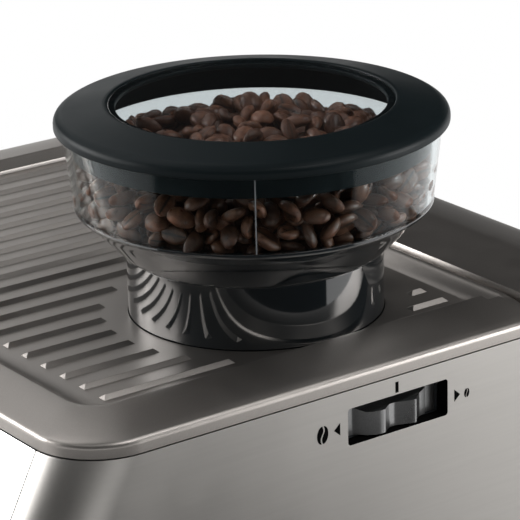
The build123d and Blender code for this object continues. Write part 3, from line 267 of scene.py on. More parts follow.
def brushedMetal(name, colour, roughness, stretch, depth=0.000008, spread=0.07, tone=0.05):
    # Rolled steel with long brush marks
    material, shader = startMaterial(name, colour, 1.0, roughness)
    grain = noiseField(material, noiseScales["brush"], stretch, detail=4.0)
    cloud = noiseField(material, noiseScales["brushCloud"], detail=2.0)
    setColour(material, shader, grain, colour, tone)
    setRough(material, shader, cloud, roughness - spread / 2, roughness + spread / 2)
    addBump(material, shader, grain, "brush", depth)
    return material


def polishedMetal(name, colour, roughness, wave=0.00004, clean=0.7, smeared=1.5):
    # Plated metal, faintly smeared and wavy
    material, shader = startMaterial(name, colour, 1.0, roughness)
    smear = noiseField(material, noiseScales["smear"])
    setRough(material, shader, smear, roughness * clean, roughness * smeared)
    addBump(material, shader, noiseField(material, noiseScales["wave"], detail=1.0), "polish", wave)
    return material


def plastic(name, colour, roughness, grain=1800.0, depth=0.00002, spread=0.05, tone=0.12, coat=0.0,
            coatRough=0.04, specular=0.5):
    # Moulded plastic with spark-eroded grain
    material, shader = startMaterial(name, colour, 0.0, roughness, Coat_Weight=coat, Coat_Roughness=coatRough,
                                     Specular_IOR_Level=specular)
    fine = noiseField(material, grain, detail=2.0)
    broad = noiseField(material, noiseScales["plasticCloud"])
    setColour(material, shader, broad, colour, tone)
    setRough(material, shader, broad, roughness - spread, roughness + spread)
    addBump(material, shader, fine, "plastic", depth)
    return material


def combine(owner, operation, first, second):
    # Two values put together by a math operation
    node = addNode(owner, "Math", operation=operation)
    link(owner, first, node.inputs[0])
    link(owner, second, node.inputs[1])
    return node.outputs["Value"]


def mixSurface(material, amount, first, second):
    # The surface passes from one shader to another by an amount
    mix = addNode(material, "MixShader")
    link(material, amount, mix.inputs["Fac"])
    link(material, first, mix.inputs[1])
    link(material, second, mix.inputs[2])
    link(material, mix.outputs["Shader"], material.node_tree.nodes["Material Output"].inputs["Surface"])


def clearPlastic(name, colour, roughness, index=1.49, haze=0.02, tint=1.0, wave=0.00006, shadow=0.96):
    # Clear moulding, faintly rippled and slightly hazed
    material, shader = startMaterial(name, colour, 0.0, roughness, IOR=index, Transmission_Weight=1.0,
                                     Specular_Tint=(tint, tint, tint, 1.0))
    ripple = noiseField(material, noiseScales["ripple"], detail=1.0)
    scuff = noiseField(material, noiseScales["scuff"], (1, 1, 0.15), detail=4.0)
    setRough(material, shader, scuff, roughness, roughness + haze, 0.5, 0.8)
    addBump(material, shader, ripple, "clear", wave)
    # Lamps shine through instead of casting a solid shadow
    path = addNode(material, "LightPath")
    through = addNode(material, "BsdfTransparent", {"Color": (*shade(colour, shadow), 1.0)})
    mixSurface(material, path.outputs["Is Shadow Ray"], shader.outputs["BSDF"], through.outputs["BSDF"])
    return material


# Finish of each slot
slotFinish = {
    "cover_metal": speckledMetal("coverMetal", (0.43, 0.40, 0.375), 0.38, depth=0.000006, tone=0.05,
                                 spread=0.03),
    "panel_steel": brushedMetal("panelSteel", (0.51, 0.49, 0.465), 0.36, (1, 0.03, 1), depth=0.000003,
                                tone=0.02),
    "fascia_steel": brushedMetal("fasciaSteel", (0.90, 0.895, 0.89), 0.16, (0.03, 1, 1), depth=0.000004,
                                 spread=0.04),
    "inner_steel": brushedMetal("innerSteel", (0.55, 0.55, 0.55), 0.38, (1, 1, 0.05)),
    "slider_metal": speckledMetal("sliderMetal", (0.32, 0.32, 0.32), 0.30, speck=2200.0, spread=0.04),
    "lid_black": plastic("lidBlack", (0.006, 0.010, 0.0115), 0.40, grain=2400.0, depth=0.000003,
                         specular=0.12),
    "gloss_black": plastic("glossBlack", (0.008, 0.011, 0.013), 0.08, grain=300.0, depth=0.000003,
                           spread=0.02, coat=0.8, specular=0.9),
    "black_plastic": plastic("blackPlastic", (0.028, 0.031, 0.034), 0.45),
    "rubber_black": plastic("rubberBlack", (0.022, 0.022, 0.022), 0.68, grain=900.0, depth=0.00004),
    "cast_metal": speckledMetal("castMetal", (0.55, 0.55, 0.55), 0.42, speck=900.0, depth=0.00003),
    "chrome_plate": polishedMetal("chromePlate", (0.82, 0.82, 0.83), 0.07),
    "burr_steel": brushedMetal("burrSteel", (0.46, 0.46, 0.48), 0.30, (1, 1, 0.1)),
    "brass_parts": brushedMetal("brassParts", (0.70, 0.52, 0.25), 0.28, (1, 1, 0.1)),
    "board_green": plastic("boardGreen", (0.020, 0.120, 0.055), 0.30, grain=500.0),
    "hose_silicone": plastic("hoseSilicone", (0.72, 0.70, 0.66), 0.40, grain=600.0),
    "float_red": plastic("floatRed", (0.55, 0.03, 0.02), 0.25, grain=900.0, depth=0.000008),
    "dial_white": plastic("dialWhite", (0.80, 0.80, 0.77), 0.35, grain=1500.0, depth=0.000006, tone=0.02),
    "smoked_clear": clearPlastic("bowlClear", (0.80, 0.86, 0.87), 0.012, 1.34, tint=0.35),
    "window_clear": clearPlastic("windowClear", (0.93, 0.95, 0.96), 0.010, 1.36, haze=0.01, tint=0.6),
    "tank_clear": clearPlastic("tankClear", (0.62, 0.68, 0.71), 0.05, haze=0.06),
}
# Finishes of pieces that don't take their slot's own
wallSteel = brushedMetal("wallSteel", (0.51, 0.49, 0.465), 0.30, (0.03, 1, 1))
# Flat black for the printed signs and dial marks and the slider rail, and painted shade on the slot's walls
printAndShadeBlack = plastic("printAndShadeBlack", (0.003, 0.003, 0.003), 0.85, grain=2500.0, depth=0.000004, specular=0.02)
seamClear = plastic("seamClear", (0.20, 0.21, 0.22), 0.25, depth=0.000004)

# Which slot each CAD node takes its finish from
nodeSlots = {
    "cover_metal": "top_cover tank_lid",
    "panel_steel": "side_panel_right side_panel_left rear_panel splash_wall drip_grid drip_tray",
    "fascia_steel": "front_fascia",
    "inner_steel": "inner_frame grinder_motor filter_basket",
    "black_plastic": "head_underside base_housing throat_ring slider_rail adjust_ring impeller "
                     "grinder_housing grounds_chute grinder_cradle portafilter_handle wand_socket",
    "gloss_black": "hopper_neck steam_knob amount_dial",
    "lid_black": "hopper_lid_ring",
    "smoked_clear": "hopper_bowl",
    "window_clear": "hopper_lid_window gauge_glass",
    "tank_clear": "water_tank",
    "slider_metal": "grind_slider",
    "rubber_black": "rubber_feet group_gasket pump_mounts wand_grip mains_gland cradle_trigger",
    "cast_metal": "group_head thermoblock",
    "chrome_plate": "portafilter_body portafilter_spouts shower_screen steam_wand steam_tip casing_screws "
                    "power_button one_cup_button two_cup_button",
    "burr_steel": "upper_burr lower_burr burr_shaft",
    "brass_parts": "drive_gear motor_pinion pump",
    "board_green": "control_board",
    "hose_silicone": "water_hoses",
    "float_red": "drip_float gauge_needle",
    "dial_white": "gauge_case",
}
slotOf = {node: slot for slot, nodes in nodeSlots.items() for node in nodes.split()}
bodyOf = {node: body for body, nodes in frame["record"]["behaviour"]["bodies"].items() for node in nodes}

for node, slotName in slotOf.items():
    mesh = frame["nodes"][node].data
    mesh.materials.clear()
    mesh.materials.append(slotFinish[slotName])
print("finishes made:", len(slotFinish))


# Top cover with its sunk cup tray

coverShape = {
    "halfWidth": 0.1533, "front": -0.0540, "split": 0.1511, "cornerRound": 0.026, "floorRound": 0.0075,
    "seam": 0.3155, "floor": 0.3200, "sideRun": 0.0317, "frontRun": 0.0258, "rearRun": 0.0121,
    "tight": 0.0004,
    # Inward of the slow share the sides close in at this rate, clear of the hopper's opening
    "sideSlow": 0.93, "slowRate": 0.12,
    "ridgeFrom": 0.64, "ridgeSlack": 0.01, "backSlack": 0.001, "floorSlack": 0.0002,
    "cornerSteps": 12, "wallSteps": 96, "neckGap": 0.0003, "neckSink": 0.0022, "sharp": 33,
}
# Section through the rim, from the lip in to the tray floor: share of the run, height over the floor
rimSections = [
    (0.000, -0.0013), (0.003, -0.0007), (0.010, -0.0001), (0.022, 0.0004), (0.050, 0.0010), (0.16, 0.0019),
    (0.30, 0.0028), (0.42, 0.0035), (0.53, 0.0040), (0.62, 0.00435), (0.70, 0.0046), (0.742, 0.00468),
    (0.758, 0.0046), (0.770, 0.0043), (0.83, 0.0032), (0.885, 0.0022), (0.93, 0.00145), (0.97, 0.00098),
    (1.01, 0.00064), (1.06, 0.00036), (1.12, 0.00016), (1.19, 0.00005), (1.26, 0.0),
]
# Section through the ridge at the rear of the tray, from the split in to the floor
ridgeSections = [0.0, 0.02, 0.05, 0.10, 0.16, 0.22, 0.29, 0.36, 0.44, 0.53, 0.62, 0.71, 0.80, 0.88, 0.95, 1.0]
ridgeHeights = [0.0010, 0.0015, 0.0019, 0.0026, 0.0033, 0.0039, 0.0043, 0.00445, 0.0043, 0.0038, 0.0030,
                0.0021, 0.0012, 0.0006, 0.0002, 0.0]
ribShape = {
    "count": 19, "pitch": 0.01275, "firstX": 0.11475, "width": 0.0042, "height": 0.0014,
    "front": -0.0189, "rear": 0.1344, "slope": 0.0018, "leastSlopes": 3, "clear": 0.0575,
    "edge": 0.00015, "edgeSteps": 2, "sunk": 0.0001,
}
hopperSpot = {"x": 0.0737, "y": 0.0769, "neck": 0.0478}
hopperBase = (hopperSpot["x"], hopperSpot["y"], coverShape["floor"])


def makeRib(bm, x, near, far):
    # A three-cornered bar with sloped ends
    half = ribShape["width"] / 2
    floor = coverShape["floor"] - ribShape["sunk"]
    verts = [bm.verts.new((x - half, near, floor)), bm.verts.new((x + half, near, floor)),
             bm.verts.new((x, near + ribShape["slope"], coverShape["floor"] + ribShape["height"]))]
    ends = extrudeFace(bm, bm.faces.new(verts), (0, far - near, 0))
    top = [vert for vert in ends if vert.co.z > coverShape["floor"]]
    bmesh.ops.translate(bm, verts=top, vec=(0, -ribShape["slope"] * 2, 0))
    made = set(verts) | set(ends)
    crest = [edge for edge in bm.edges if edge.verts[0] in made and edge.verts[1] in made
             and max(vert.co.z for vert in edge.verts) > coverShape["floor"]]
    bevelEdges(bm, crest, ribShape["edge"], ribShape["edgeSteps"])


def rimLoop(bm, share, rearShare, height):
    # One outline of the rim, its share of the way in to the tray floor
    size = coverShape
    rounding = size["cornerRound"] + (size["floorRound"] - size["cornerRound"]) * share
    rear = size["split"] - size["rearRun"] * rearShare
    rearRound = max(size["tight"], size["floorRound"] * rearShare)
    sideShare = min(share, size["sideSlow"]) + max(share - size["sideSlow"], 0) * size["slowRate"]
    corners = planCorners(size["halfWidth"] - size["sideRun"] * sideShare,
                          size["front"] + size["frontRun"] * share, rear, rounding, rearRound,
                          size["floor"] + height)
    return outlineLoop(bm, corners, size["cornerSteps"])


def setRidge(bm):
    # Give the rear ridge its own section where the outlines cross it
    size = coverShape
    inner = size["halfWidth"] - size["sideRun"] * size["ridgeFrom"]
    rear = size["split"] - size["rearRun"]
    for spot, across in (((0, rear, 0), (0, 1, 0)), ((inner, 0, 0), (1, 0, 0)), ((-inner, 0, 0), (1, 0, 0))):
        bmesh.ops.bisect_plane(bm, geom=bm.verts[:] + bm.edges[:] + bm.faces[:], dist=meshRules["cut"],
                               plane_co=spot, plane_no=across)
    spans = list(zip(ridgeSections, ridgeSections[1:], ridgeHeights, ridgeHeights[1:]))
    for vert in bm.verts:
        back = (size["split"] - vert.co.y) / size["rearRun"]
        side = (size["halfWidth"] - abs(vert.co.x)) / size["sideRun"]
        if (-size["backSlack"] < back < 1.0 and vert.co.z > size["floor"] - size["floorSlack"]
                and side > size["ridgeFrom"] - size["ridgeSlack"]):
            back = max(back, 0)
            low, high, lowHeight, highHeight = next(span for span in spans if span[0] <= back <= span[1])
            part = (back - low) / (high - low)
            vert.co.z = size["floor"] + (lowHeight + (highHeight - lowHeight) * part)


def makeTopCover():
    size = coverShape
    bm = bmesh.new()
    last = outlineLoop(bm, planCorners(size["halfWidth"], size["front"], size["split"], size["cornerRound"],
                                       size["tight"], size["seam"]), size["cornerSteps"])
    for index, (share, height) in enumerate(rimSections):
        loop = rimLoop(bm, share, index / (len(rimSections) - 1), height)
        bridge(bm, last, loop)
        last = loop
    known = set(bm.edges)
    bmesh.ops.create_circle(bm, cap_ends=False, segments=size["wallSteps"],
                            radius=hopperSpot["neck"] + size["neckGap"],
                            matrix=Matrix.Translation(hopperBase))
    hole = [edge for edge in bm.edges if edge not in known]
    fillLoop(bm, last + hole)
    sunk = bmesh.ops.extrude_edge_only(bm, edges=hole)["geom"]
    bmesh.ops.translate(bm, verts=[item for item in sunk if isinstance(item, bmesh.types.BMVert)],
                        vec=(0, 0, -size["neckSink"]))
    setRidge(bm)
    bmesh.ops.recalc_face_normals(bm, faces=bm.faces)
    for count in range(ribShape["count"]):
        x = ribShape["firstX"] - ribShape["pitch"] * count
        away = abs(x - hopperSpot["x"])
        if away < ribShape["clear"]:
            reach = math.sqrt(ribShape["clear"] ** 2 - away ** 2)
            spans = [(ribShape["front"], hopperSpot["y"] - reach),
                     (hopperSpot["y"] + reach, ribShape["rear"])]
        else:
            spans = [(ribShape["front"], ribShape["rear"])]
        for near, far in spans:
            if far - near > ribShape["slope"] * ribShape["leastSlopes"]:
                makeRib(bm, x, near, far)
    addPiece("top_cover_shell", bm, "machine", "cover_metal", ["top_cover"], angle=size["sharp"])


makeTopCover()
print("top cover made")


# Tank lid behind the tray, its rim in line with the cover's
tankLidShape = {
    "gap": 0.0005, "rear": 0.2078, "rearRound": 0.010, "rearRun": 0.0240, "crestRound": 0.006,
    "nearRun": 0.0012,
    "sections": rimSections[:10],
}


def makeTankLid():
    size = coverShape
    own = tankLidShape
    near = size["split"] + own["gap"]
    bm = bmesh.new()
    last = outlineLoop(bm, planCorners(size["halfWidth"], near, own["rear"], size["tight"], own["rearRound"],
                                       size["seam"]), size["cornerSteps"])
    fillLoop(bm, last)
    for share, height in own["sections"]:
        part = share / own["sections"][-1][0]
        reach = size["sideRun"] * share
        loop = outlineLoop(bm, planCorners(size["halfWidth"] - reach, near + own["nearRun"] * part,
                                           own["rear"] - own["rearRun"] * part, size["tight"],
                                           own["rearRound"] + (own["crestRound"] - own["rearRound"]) * part,
                                           size["floor"] + height), size["cornerSteps"])
        bridge(bm, last, loop)
        last = loop
    fillLoop(bm, last)
    addPiece("tank_lid_shell", bm, "tank_lid", "cover_metal", ["tank_lid"], angle=size["sharp"])


makeTankLid()
print("tank lid made")


# Hopper: each part turned from a section of (radius, height over the deck, corner rounding) points
hopperShape = {"steps": 144, "sharp": 40}
hopperParts = {
    # Clear side wall, a closed ring
    "bowl_wall": {
        "body": "hopper", "slot": "smoked_clear", "nodes": ["hopper_bowl"], "rounding": 4,
        "section": [(0.0642, 0.0427, 0.0002), (0.0664, 0.0427, 0.0002), (0.0697, 0.0718, 0.0004),
                    (0.0675, 0.0718, 0.0004)],
    },
    # Dark shoulder from the bowl's foot in to the collar
    "bowl_shoulder": {
        "body": "hopper", "slot": "gloss_black", "nodes": [], "rounding": 4,
        "section": [(0.0476, 0.0240, 0.0003), (0.0492, 0.0246, 0.0012), (0.0630, 0.0391, 0.0030),
                    (0.0665, 0.0417, 0.0008), (0.0665, 0.0430, 0.0001), (0.0633, 0.0430, 0.0003),
                    (0.0453, 0.0262, 0.0006), (0.0453, 0.0240, 0.0002)],
    },
    "hopper_collar": {
        "body": "hopper", "slot": "gloss_black", "nodes": ["hopper_neck"], "rounding": 3,
        "section": [(0.0478, 0.0239, 0.0001), (0.0478, 0.0002, 0.0005), (0.0430, -0.0040, 0.0005),
                    (0.0430, -0.0080, 0.0004), (0.0240, -0.0080, 0.0004), (0.0240, -0.0060, 0.0010),
                    (0.0447, 0.0239, 0.0006)],
    },
    "lid_ring": {
        "body": "hopper_lid", "slot": "lid_black", "nodes": ["hopper_lid_ring"], "rounding": 4,
        "section": [(0.0527, 0.0776, 0.0001), (0.0527, 0.0801, 0.0005), (0.0539, 0.0802, 0.0008),
                    (0.0703, 0.0771, 0.0016), (0.0725, 0.0751, 0.0012), (0.0725, 0.0722, 0.0004),
                    (0.0659, 0.0721, 0.0002), (0.0659, 0.0636, 0.0005), (0.0641, 0.0636, 0.0005),
                    (0.0641, 0.0725, 0.0010), (0.0517, 0.0756, 0.0006), (0.0497, 0.0758, 0.0006),
                    (0.0497, 0.0776, 0.0004)],
    },
    "lid_window": {
        "body": "hopper_lid", "slot": "window_clear", "nodes": ["hopper_lid_window"], "rounding": 3,
        "section": [(0, 0.0776, 0), (0.05258, 0.0776, 0.0003), (0.05258, 0.0798, 0.0005), (0, 0.0798, 0)],
    },
}
# Moulding line down the clear wall: its turn, its thickness and its ends as (radius, height)
seamShape = {"azimuth": -35.0, "wide": 0.0005, "edge": 0.00015, "edgeSteps": 2,
             "low": (0.0664, 0.0433), "high": (0.0697, 0.0716)}


def makeHopper():
    for name, part in hopperParts.items():
        form = spunForm(part["section"], hopperBase, hopperShape["steps"], part["rounding"])
        addPiece(name, form, part["body"], part["slot"], part["nodes"], angle=hopperShape["sharp"])


def makeBowlSeam():
    size = seamShape
    low, high = (Vector((radius, 0, height)) for radius, height in (size["low"], size["high"]))
    along = high - low
    bm = bmesh.new()
    bmesh.ops.create_cube(bm, size=1)
    bmesh.ops.scale(bm, verts=bm.verts, vec=(size["wide"], size["wide"], along.length))
    upright = [edge for edge in bm.edges if abs(edge.verts[0].co.z - edge.verts[1].co.z) > size["wide"]]
    bevelEdges(bm, upright, size["edge"], size["edgeSteps"])
    lean = Matrix.Rotation(math.atan2(along.x, along.z), 4, "Y")
    turn = Matrix.Rotation(math.radians(size["azimuth"]), 4, "Z")
    place = Matrix.Translation(hopperBase) @ turn @ Matrix.Translation((low + high) / 2) @ lean
    bmesh.ops.transform(bm, matrix=place, verts=bm.verts)
    addPiece("bowl_seam", bm, "hopper", "smoked_clear", finish=seamClear, angle=hopperShape["sharp"])


makeHopper()
makeBowlSeam()
print("hopper made")


# Coffee beans, loose in the bowl
beanShape = {
    "long": 0.0110, "wide": 0.0082, "tall": 0.0062, "around": 12, "rings": 7,
    # Half of a bean is flatter, with a crack along it: shares of the ball it is made from
    "flatHalf": 0.55, "crackWide": 0.06, "crackLong": 0.48, "crackFloor": 0.20,
    "sizes": (0.88, 1.10), "tilt": 0.9, "tip": 0.6, "flipped": 0.5, "sharp": 80, "merge": 0.0000001,
}
heapShape = {
    "count": 760, "seed": 7, "spacing": 0.0076, "rounds": 14, "push": 0.45, "core": 0.55, "shell": 0.016,
    "outerTop": 0.0655, "low": 0.0400, "brim": 0.0548, "heap": 0.0708, "curve": 0.9,
    # How far out a bean's centre may lie, by its height in the bowl
    "outer": 0.0622, "outerGap": 0.0012, "outerAt": 0.044, "outerSlope": 0.10, "foot": 0.046,
    # The heap leans: higher towards this side by so much at the brim
    "lean": 0.0028, "leanTo": (0.77, -0.64),
}
# Bean colours; the crack's nearly black colour is painted shade
beanTones = {
    "dark": (0.055, 0.021, 0.012), "light": (0.185, 0.085, 0.050), "crackShade": (0.012, 0.006, 0.004),
    "lower": (0.55, 0.52, 0.50), "upper": (1.35, 1.25, 1.15), "base": (0.10, 0.042, 0.022), "baseRough": 0.36,
    "rough": (0.26, 0.46), "crackShadeFrom": (0.55, 0.95), "mottleFrom": (0.25, 0.75), "pits": 0.00012,
}


def heapTop(x, y):
    size = heapShape
    inside = min(1.0, math.hypot(x, y) / size["outerTop"])
    brim = size["brim"] + (x * size["leanTo"][0] + y * size["leanTo"][1]) / size["outerTop"] * size["lean"]
    return brim + (size["heap"] - brim) * (1 - inside ** 2) ** size["curve"]


def beanTemplate():
    # One bean: a rounded form, flat below with a crack along it
    size = beanShape
    bm = bmesh.new()
    bmesh.ops.create_uvsphere(bm, u_segments=size["around"], v_segments=size["rings"], radius=0.5)
    bmesh.ops.rotate(bm, verts=bm.verts, cent=(0, 0, 0), matrix=Matrix.Rotation(math.pi / 2, 3, "Y"))
    crackShade = bm.verts.layers.float.new("crackShade")
    for vert in bm.verts:
        x, y, z = vert.co
        if z < 0:
            vert.co.z = z * size["flatHalf"]
            if abs(y) < size["crackWide"] and abs(x) < size["crackLong"]:
                vert.co.z = z * size["crackFloor"]
                # The crack's points are marked for its painted shade
                vert[crackShade] = 1.0
    bmesh.ops.scale(bm, verts=bm.verts, vec=(size["long"], size["wide"], size["tall"]))
    return bm


def beanCell(spot):
    return tuple(int(value // heapShape["spacing"]) for value in spot)


def beanPlaces():
    # Spread bean centres in the bowl and push them apart until they nearly touch
    size = heapShape
    draw = random.Random(size["seed"])
    spots = []
    while len(spots) < size["count"]:
        angle = draw.uniform(0, math.tau)
        reach = math.sqrt(draw.random())
        radius = reach * size["outerTop"]
        top = heapTop(radius * math.cos(angle), radius * math.sin(angle))
        height = size["low"] + (top - size["low"]) * draw.random()
        if reach > size["core"] or top - height < size["shell"]:
            spots.append(Vector((radius * math.cos(angle), radius * math.sin(angle), height)))
    for turn in range(size["rounds"]):
        grid = {}
        for index, spot in enumerate(spots):
            grid.setdefault(beanCell(spot), []).append(index)
        for index, spot in enumerate(spots):
            key = beanCell(spot)
            push = Vector()
            for step in itertools.product((-1, 0, 1), repeat=3):
                for other in grid.get(tuple(map(sum, zip(key, step))), ()):
                    gap = spot - spots[other]
                    far = gap.length
                    if other != index and 0 < far < size["spacing"]:
                        push += gap / far * (size["spacing"] - far) * size["push"]
            spot += push
            reach = Vector((spot.x, spot.y)).length
            limit = size["outer"] + (spot.z - size["outerAt"]) * size["outerSlope"] - size["outerGap"]
            limit -= max(size["foot"] - spot.z, 0)
            if reach > limit:
                spot.x *= limit / reach
                spot.y *= limit / reach
            spot.z = min(max(spot.z, size["low"]), heapTop(spot.x, spot.y))
    return spots


def makeBeans():
    form = beanShape
    draw = random.Random(heapShape["seed"] + 1)
    template = beanTemplate()
    holder = bpy.data.meshes.new("beanTemplate")
    template.to_mesh(holder)
    template.free()
    bm = bmesh.new()
    toneLayer = bm.verts.layers.float.new("tone")
    bm.verts.layers.float.new("crackShade")
    for spot in beanPlaces():
        start = len(bm.verts)
        bm.from_mesh(holder)
        bm.verts.ensure_lookup_table()
        made = bm.verts[start:]
        size = draw.uniform(*form["sizes"])
        turn = Matrix.Rotation(draw.uniform(0, math.tau), 4, "Z") @ Matrix.Rotation(
            draw.gauss(0, form["tilt"]), 4, "X") @ Matrix.Rotation(draw.gauss(0, form["tip"]), 4, "Y")
        if draw.random() < form["flipped"]:
            turn = turn @ Matrix.Rotation(math.pi, 4, "X")
        place = Matrix.Translation(Vector(hopperBase) + spot) @ turn @ Matrix.Scale(size, 4)
        bmesh.ops.transform(bm, matrix=place, verts=made)
        tone = draw.random()
        for vert in made:
            vert[toneLayer] = tone
    bpy.data.meshes.remove(holder)
    addPiece("coffee_beans", bm, "hopper", finish=beanFinish(), angle=form["sharp"],
             merge=form["merge"], outward=False, flat=False)


def beanFinish():
    # Oily roasted bean: mottled brown, with painted shade darkening the crack
    own = beanTones
    material, shader = startMaterial("beanBrown", own["base"], 0.0, own["baseRough"])
    clouds = noiseField(material, noiseScales["beanMottle"], detail=4.0)
    pits = noiseField(material, noiseScales["beanPits"])
    base = blendColour(material, clouds, own["dark"], own["light"], *own["mottleFrom"])
    tone = addNode(material, "Attribute", attribute_name="tone")
    warm = addNode(material, "Mix", {"Factor": 1.0}, data_type="RGBA", blend_type="MULTIPLY")
    link(material, base, warm.inputs["A"])
    link(material, blendColour(material, tone.outputs["Fac"], own["lower"], own["upper"], 0.0, 1.0),
         warm.inputs["B"])
    # Painted shade: the crack is coloured nearly black for the shade inside it
    crackShade = addNode(material, "Attribute", attribute_name="crackShade")
    dark = addNode(material, "Mix", {"B": (*own["crackShade"], 1.0)}, data_type="RGBA", blend_type="MIX")
    link(material, spreadValue(material, crackShade.outputs["Fac"], 0.0, 1.0, *own["crackShadeFrom"]),
         dark.inputs["Factor"])
    link(material, warm.outputs["Result"], dark.inputs["A"])
    link(material, dark.outputs["Result"], shader.inputs["Base Color"])
    setRough(material, shader, clouds, *own["rough"])
    addBump(material, shader, pits, "bean", own["pits"])
    return material


makeBeans()
print("beans laid")


# Casing panels, grind slider and the signs printed beside it
softEdges = {
    "side_panel_right": 0.0002, "side_panel_left": 0.0002, "front_fascia": 0.0002, "rear_panel": 0.0003,
    "splash_wall": 0.0003, "head_underside": 0.0003, "base_housing": 0.0008, "drip_tray": 0.0006,
    "drip_grid": 0.0003, "wand_socket": 0.0006, "wand_grip": 0.0009,
    "steam_tip": 0.0005, "mains_gland": 0.0005, "casing_screws": 0.0002, "grinder_cradle": 0.0005,
    "cradle_trigger": 0.0005, "group_head": 0.0006, "portafilter_body": 0.0006, "portafilter_spouts": 0.0004,
    "steam_knob": 0.0004, "amount_dial": 0.0004, "power_button": 0.0006, "one_cup_button": 0.0006,
    "two_cup_button": 0.0006, "gauge_case": 0.0005, "water_tank": 0.0006, "rubber_feet": 0.0006,
    "filter_basket": 0.0002, "grounds_chute": 0.0003, "slider_rail": 0.0002,
}
ownFinish = {
    "slider_rail": printAndShadeBlack, "splash_wall": wallSteel, "rear_panel": wallSteel, "drip_tray": wallSteel,
    "drip_grid": wallSteel,
}
panelSharp = 35

# The slider's slot in the right-hand panel: its middle, and how far its walls reach
slotShape = {
    "y": 0.0809, "z": 0.3011, "halfLong": 0.0228, "halfTall": 0.0072, "lip": 0.1525, "lipSlack": 0.0003,
    "inside": 0.14, "wallTilt": 0.3, "bend": 0.7, "roll": 0.0006, "rollSteps": 4,
}


def inSlot(spot):
    size = slotShape
    return abs(spot.y - size["y"]) < size["halfLong"] and abs(spot.z - size["z"]) < size["halfTall"]


def rollSlot(bm):
    # Round the slot's outer edge more than the rest
    size = slotShape
    rim = [edge for edge in bm.edges if len(edge.link_faces) == 2 and edge.calc_face_angle(0) > size["bend"]
           and all(vert.co.x > size["lip"] and inSlot(vert.co) for vert in edge.verts)]
    bevelEdges(bm, rim, size["roll"], size["rollSteps"])


def darkenSlot(piece):
    # Painted shade: the slot's walls take a flat black finish for the shade behind the rolled edge
    size = slotShape
    piece.data.materials.append(printAndShadeBlack)
    for face in piece.data.polygons:
        behind = size["inside"] < face.center.x < size["lip"] + size["lipSlack"]
        if behind and abs(face.normal.x) < size["wallTilt"] and inSlot(face.center):
            face.material_index = 1


for node, width in softEdges.items():
    shape = softCopy(node, width, before=rollSlot if node == "side_panel_right" else None)
    piece = addPiece(node + "_finished", shape, bodyOf[node], slotOf[node], [node], ownFinish.get(node),
                     angle=panelSharp, outward=False)
    if node == "side_panel_right":
        darkenSlot(piece)
print("casing and fittings rounded:", len(softEdges))

sliderShape = {
    "crest": 0.0752, "low": 0.29485, "high": 0.3037, "face": 0.1531, "back": 0.1468, "wing": 0.0045,
    "wingRise": 0.0013, "edge": 0.00045, "edgeSteps": 3, "cornerSteps": 3, "bend": 50, "sharp": 40,
    "plate": 0.14735, "plateEdge": 0.0002,
    # Along the slider from its first crest, how far the face lies back there, and how the corner is rounded
    "waves": [(-0.0132, 0.00565, 0), (-0.0106, 0.00565, 0.0002), (-0.0100, 0.0052, 0.0002),
              (-0.0060, 0.0014, 0.0014), (-0.0030, 0.0001, 0.0012), (0.0, 0.0, 0.0007),
              (0.0016, 0.0013, 0.0008), (0.0036, 0.0027, 0.0008), (0.0066, 0.0029, 0.0008),
              (0.0100, 0.0015, 0.0008), (0.0125, 0.0006, 0.0008), (0.0145, 0.0003, 0.0007),
              (0.0162, 0.0024, 0.0008),
              (0.0186, 0.0041, 0.0002), (0.0218, 0.0047, 0.0002), (0.0222, 0.00565, 0), (0.0268, 0.00565, 0)],
}


def makeSlider():
    # Two finger bumps with a hollow between them, on taller wings that lie further back
    size = sliderShape
    bm = bmesh.new()
    corners = [(size["face"] - back, size["crest"] + along, reach) for along, back, reach in size["waves"]]
    corners += [(size["back"], corners[-1][1], 0), (size["back"], corners[0][1], 0)]
    verts = [bm.verts.new((x, y, size["low"])) for x, y, reach in corners]
    bm.faces.new(verts)
    for vert, (x, y, reach) in zip(verts, corners):
        if reach > 0:
            roundCorner(bm, vert, reach, size["cornerSteps"])
    top = extrudeFace(bm, next(iter(bm.faces)), (0, 0, size["high"] - size["low"]))
    wings = [vert for vert in top if size["face"] - vert.co.x > size["wing"]]
    bmesh.ops.translate(bm, verts=wings, vec=(0, 0, size["wingRise"]))
    bmesh.ops.recalc_face_normals(bm, faces=bm.faces)
    bmesh.ops.triangulate(bm, faces=[face for face in bm.faces if len(face.verts) > 4])
    bevelEdges(bm, sharpEdges(bm, size["bend"]), size["edge"], size["edgeSteps"])
    addPiece("grind_slider_grip", bm, "grind_slider", "slider_metal", ["grind_slider"],
             angle=size["sharp"])


def makeSliderPlate():
    # What the grip sits on: the plate in the rail, the neck and the peg
    size = sliderShape
    bm = softCopy("grind_slider", size["plateEdge"])
    bmesh.ops.delete(bm, geom=[vert for vert in bm.verts if vert.co.x > size["plate"]], context="VERTS")
    bmesh.ops.holes_fill(bm, edges=bm.edges[:])
    addPiece("grind_slider_plate", bm, "grind_slider", "black_plastic")


makeSlider()
makeSliderPlate()
print("slider made")

signShape = {
    "x": 0.1533, "proud": 0.00006, "depth": 0.000096, "tick": (0.0803, 0.3129, 0.0014, 0.0041),
    "leftArrow": (0.0521, 0.0548, 0.3016, 0.0047), "rightArrow": (0.1092, 0.1066, 0.3007, 0.0047),
    "largeBean": (0.0471, 0.30135, 0.00245, 0.00335), "smallBean": (0.1124, 0.3004, 0.0012, 0.0017),
    # Bean sign, as shares of its half width and height: gap, lean, wave of the crack, crack's end
    "beanSteps": 14, "gap": 0.13, "lean": 0.08, "wave": 0.22, "crackEnd": 0.98,
}


def printedFace(bm, points):
    # A flat printed patch on the right-hand panel from (y, z) points
    verts = [bm.verts.new((signShape["x"] + signShape["proud"], y, z)) for y, z in points]
    extrudeFace(bm, bm.faces.new(verts), (-signShape["depth"], 0, 0))


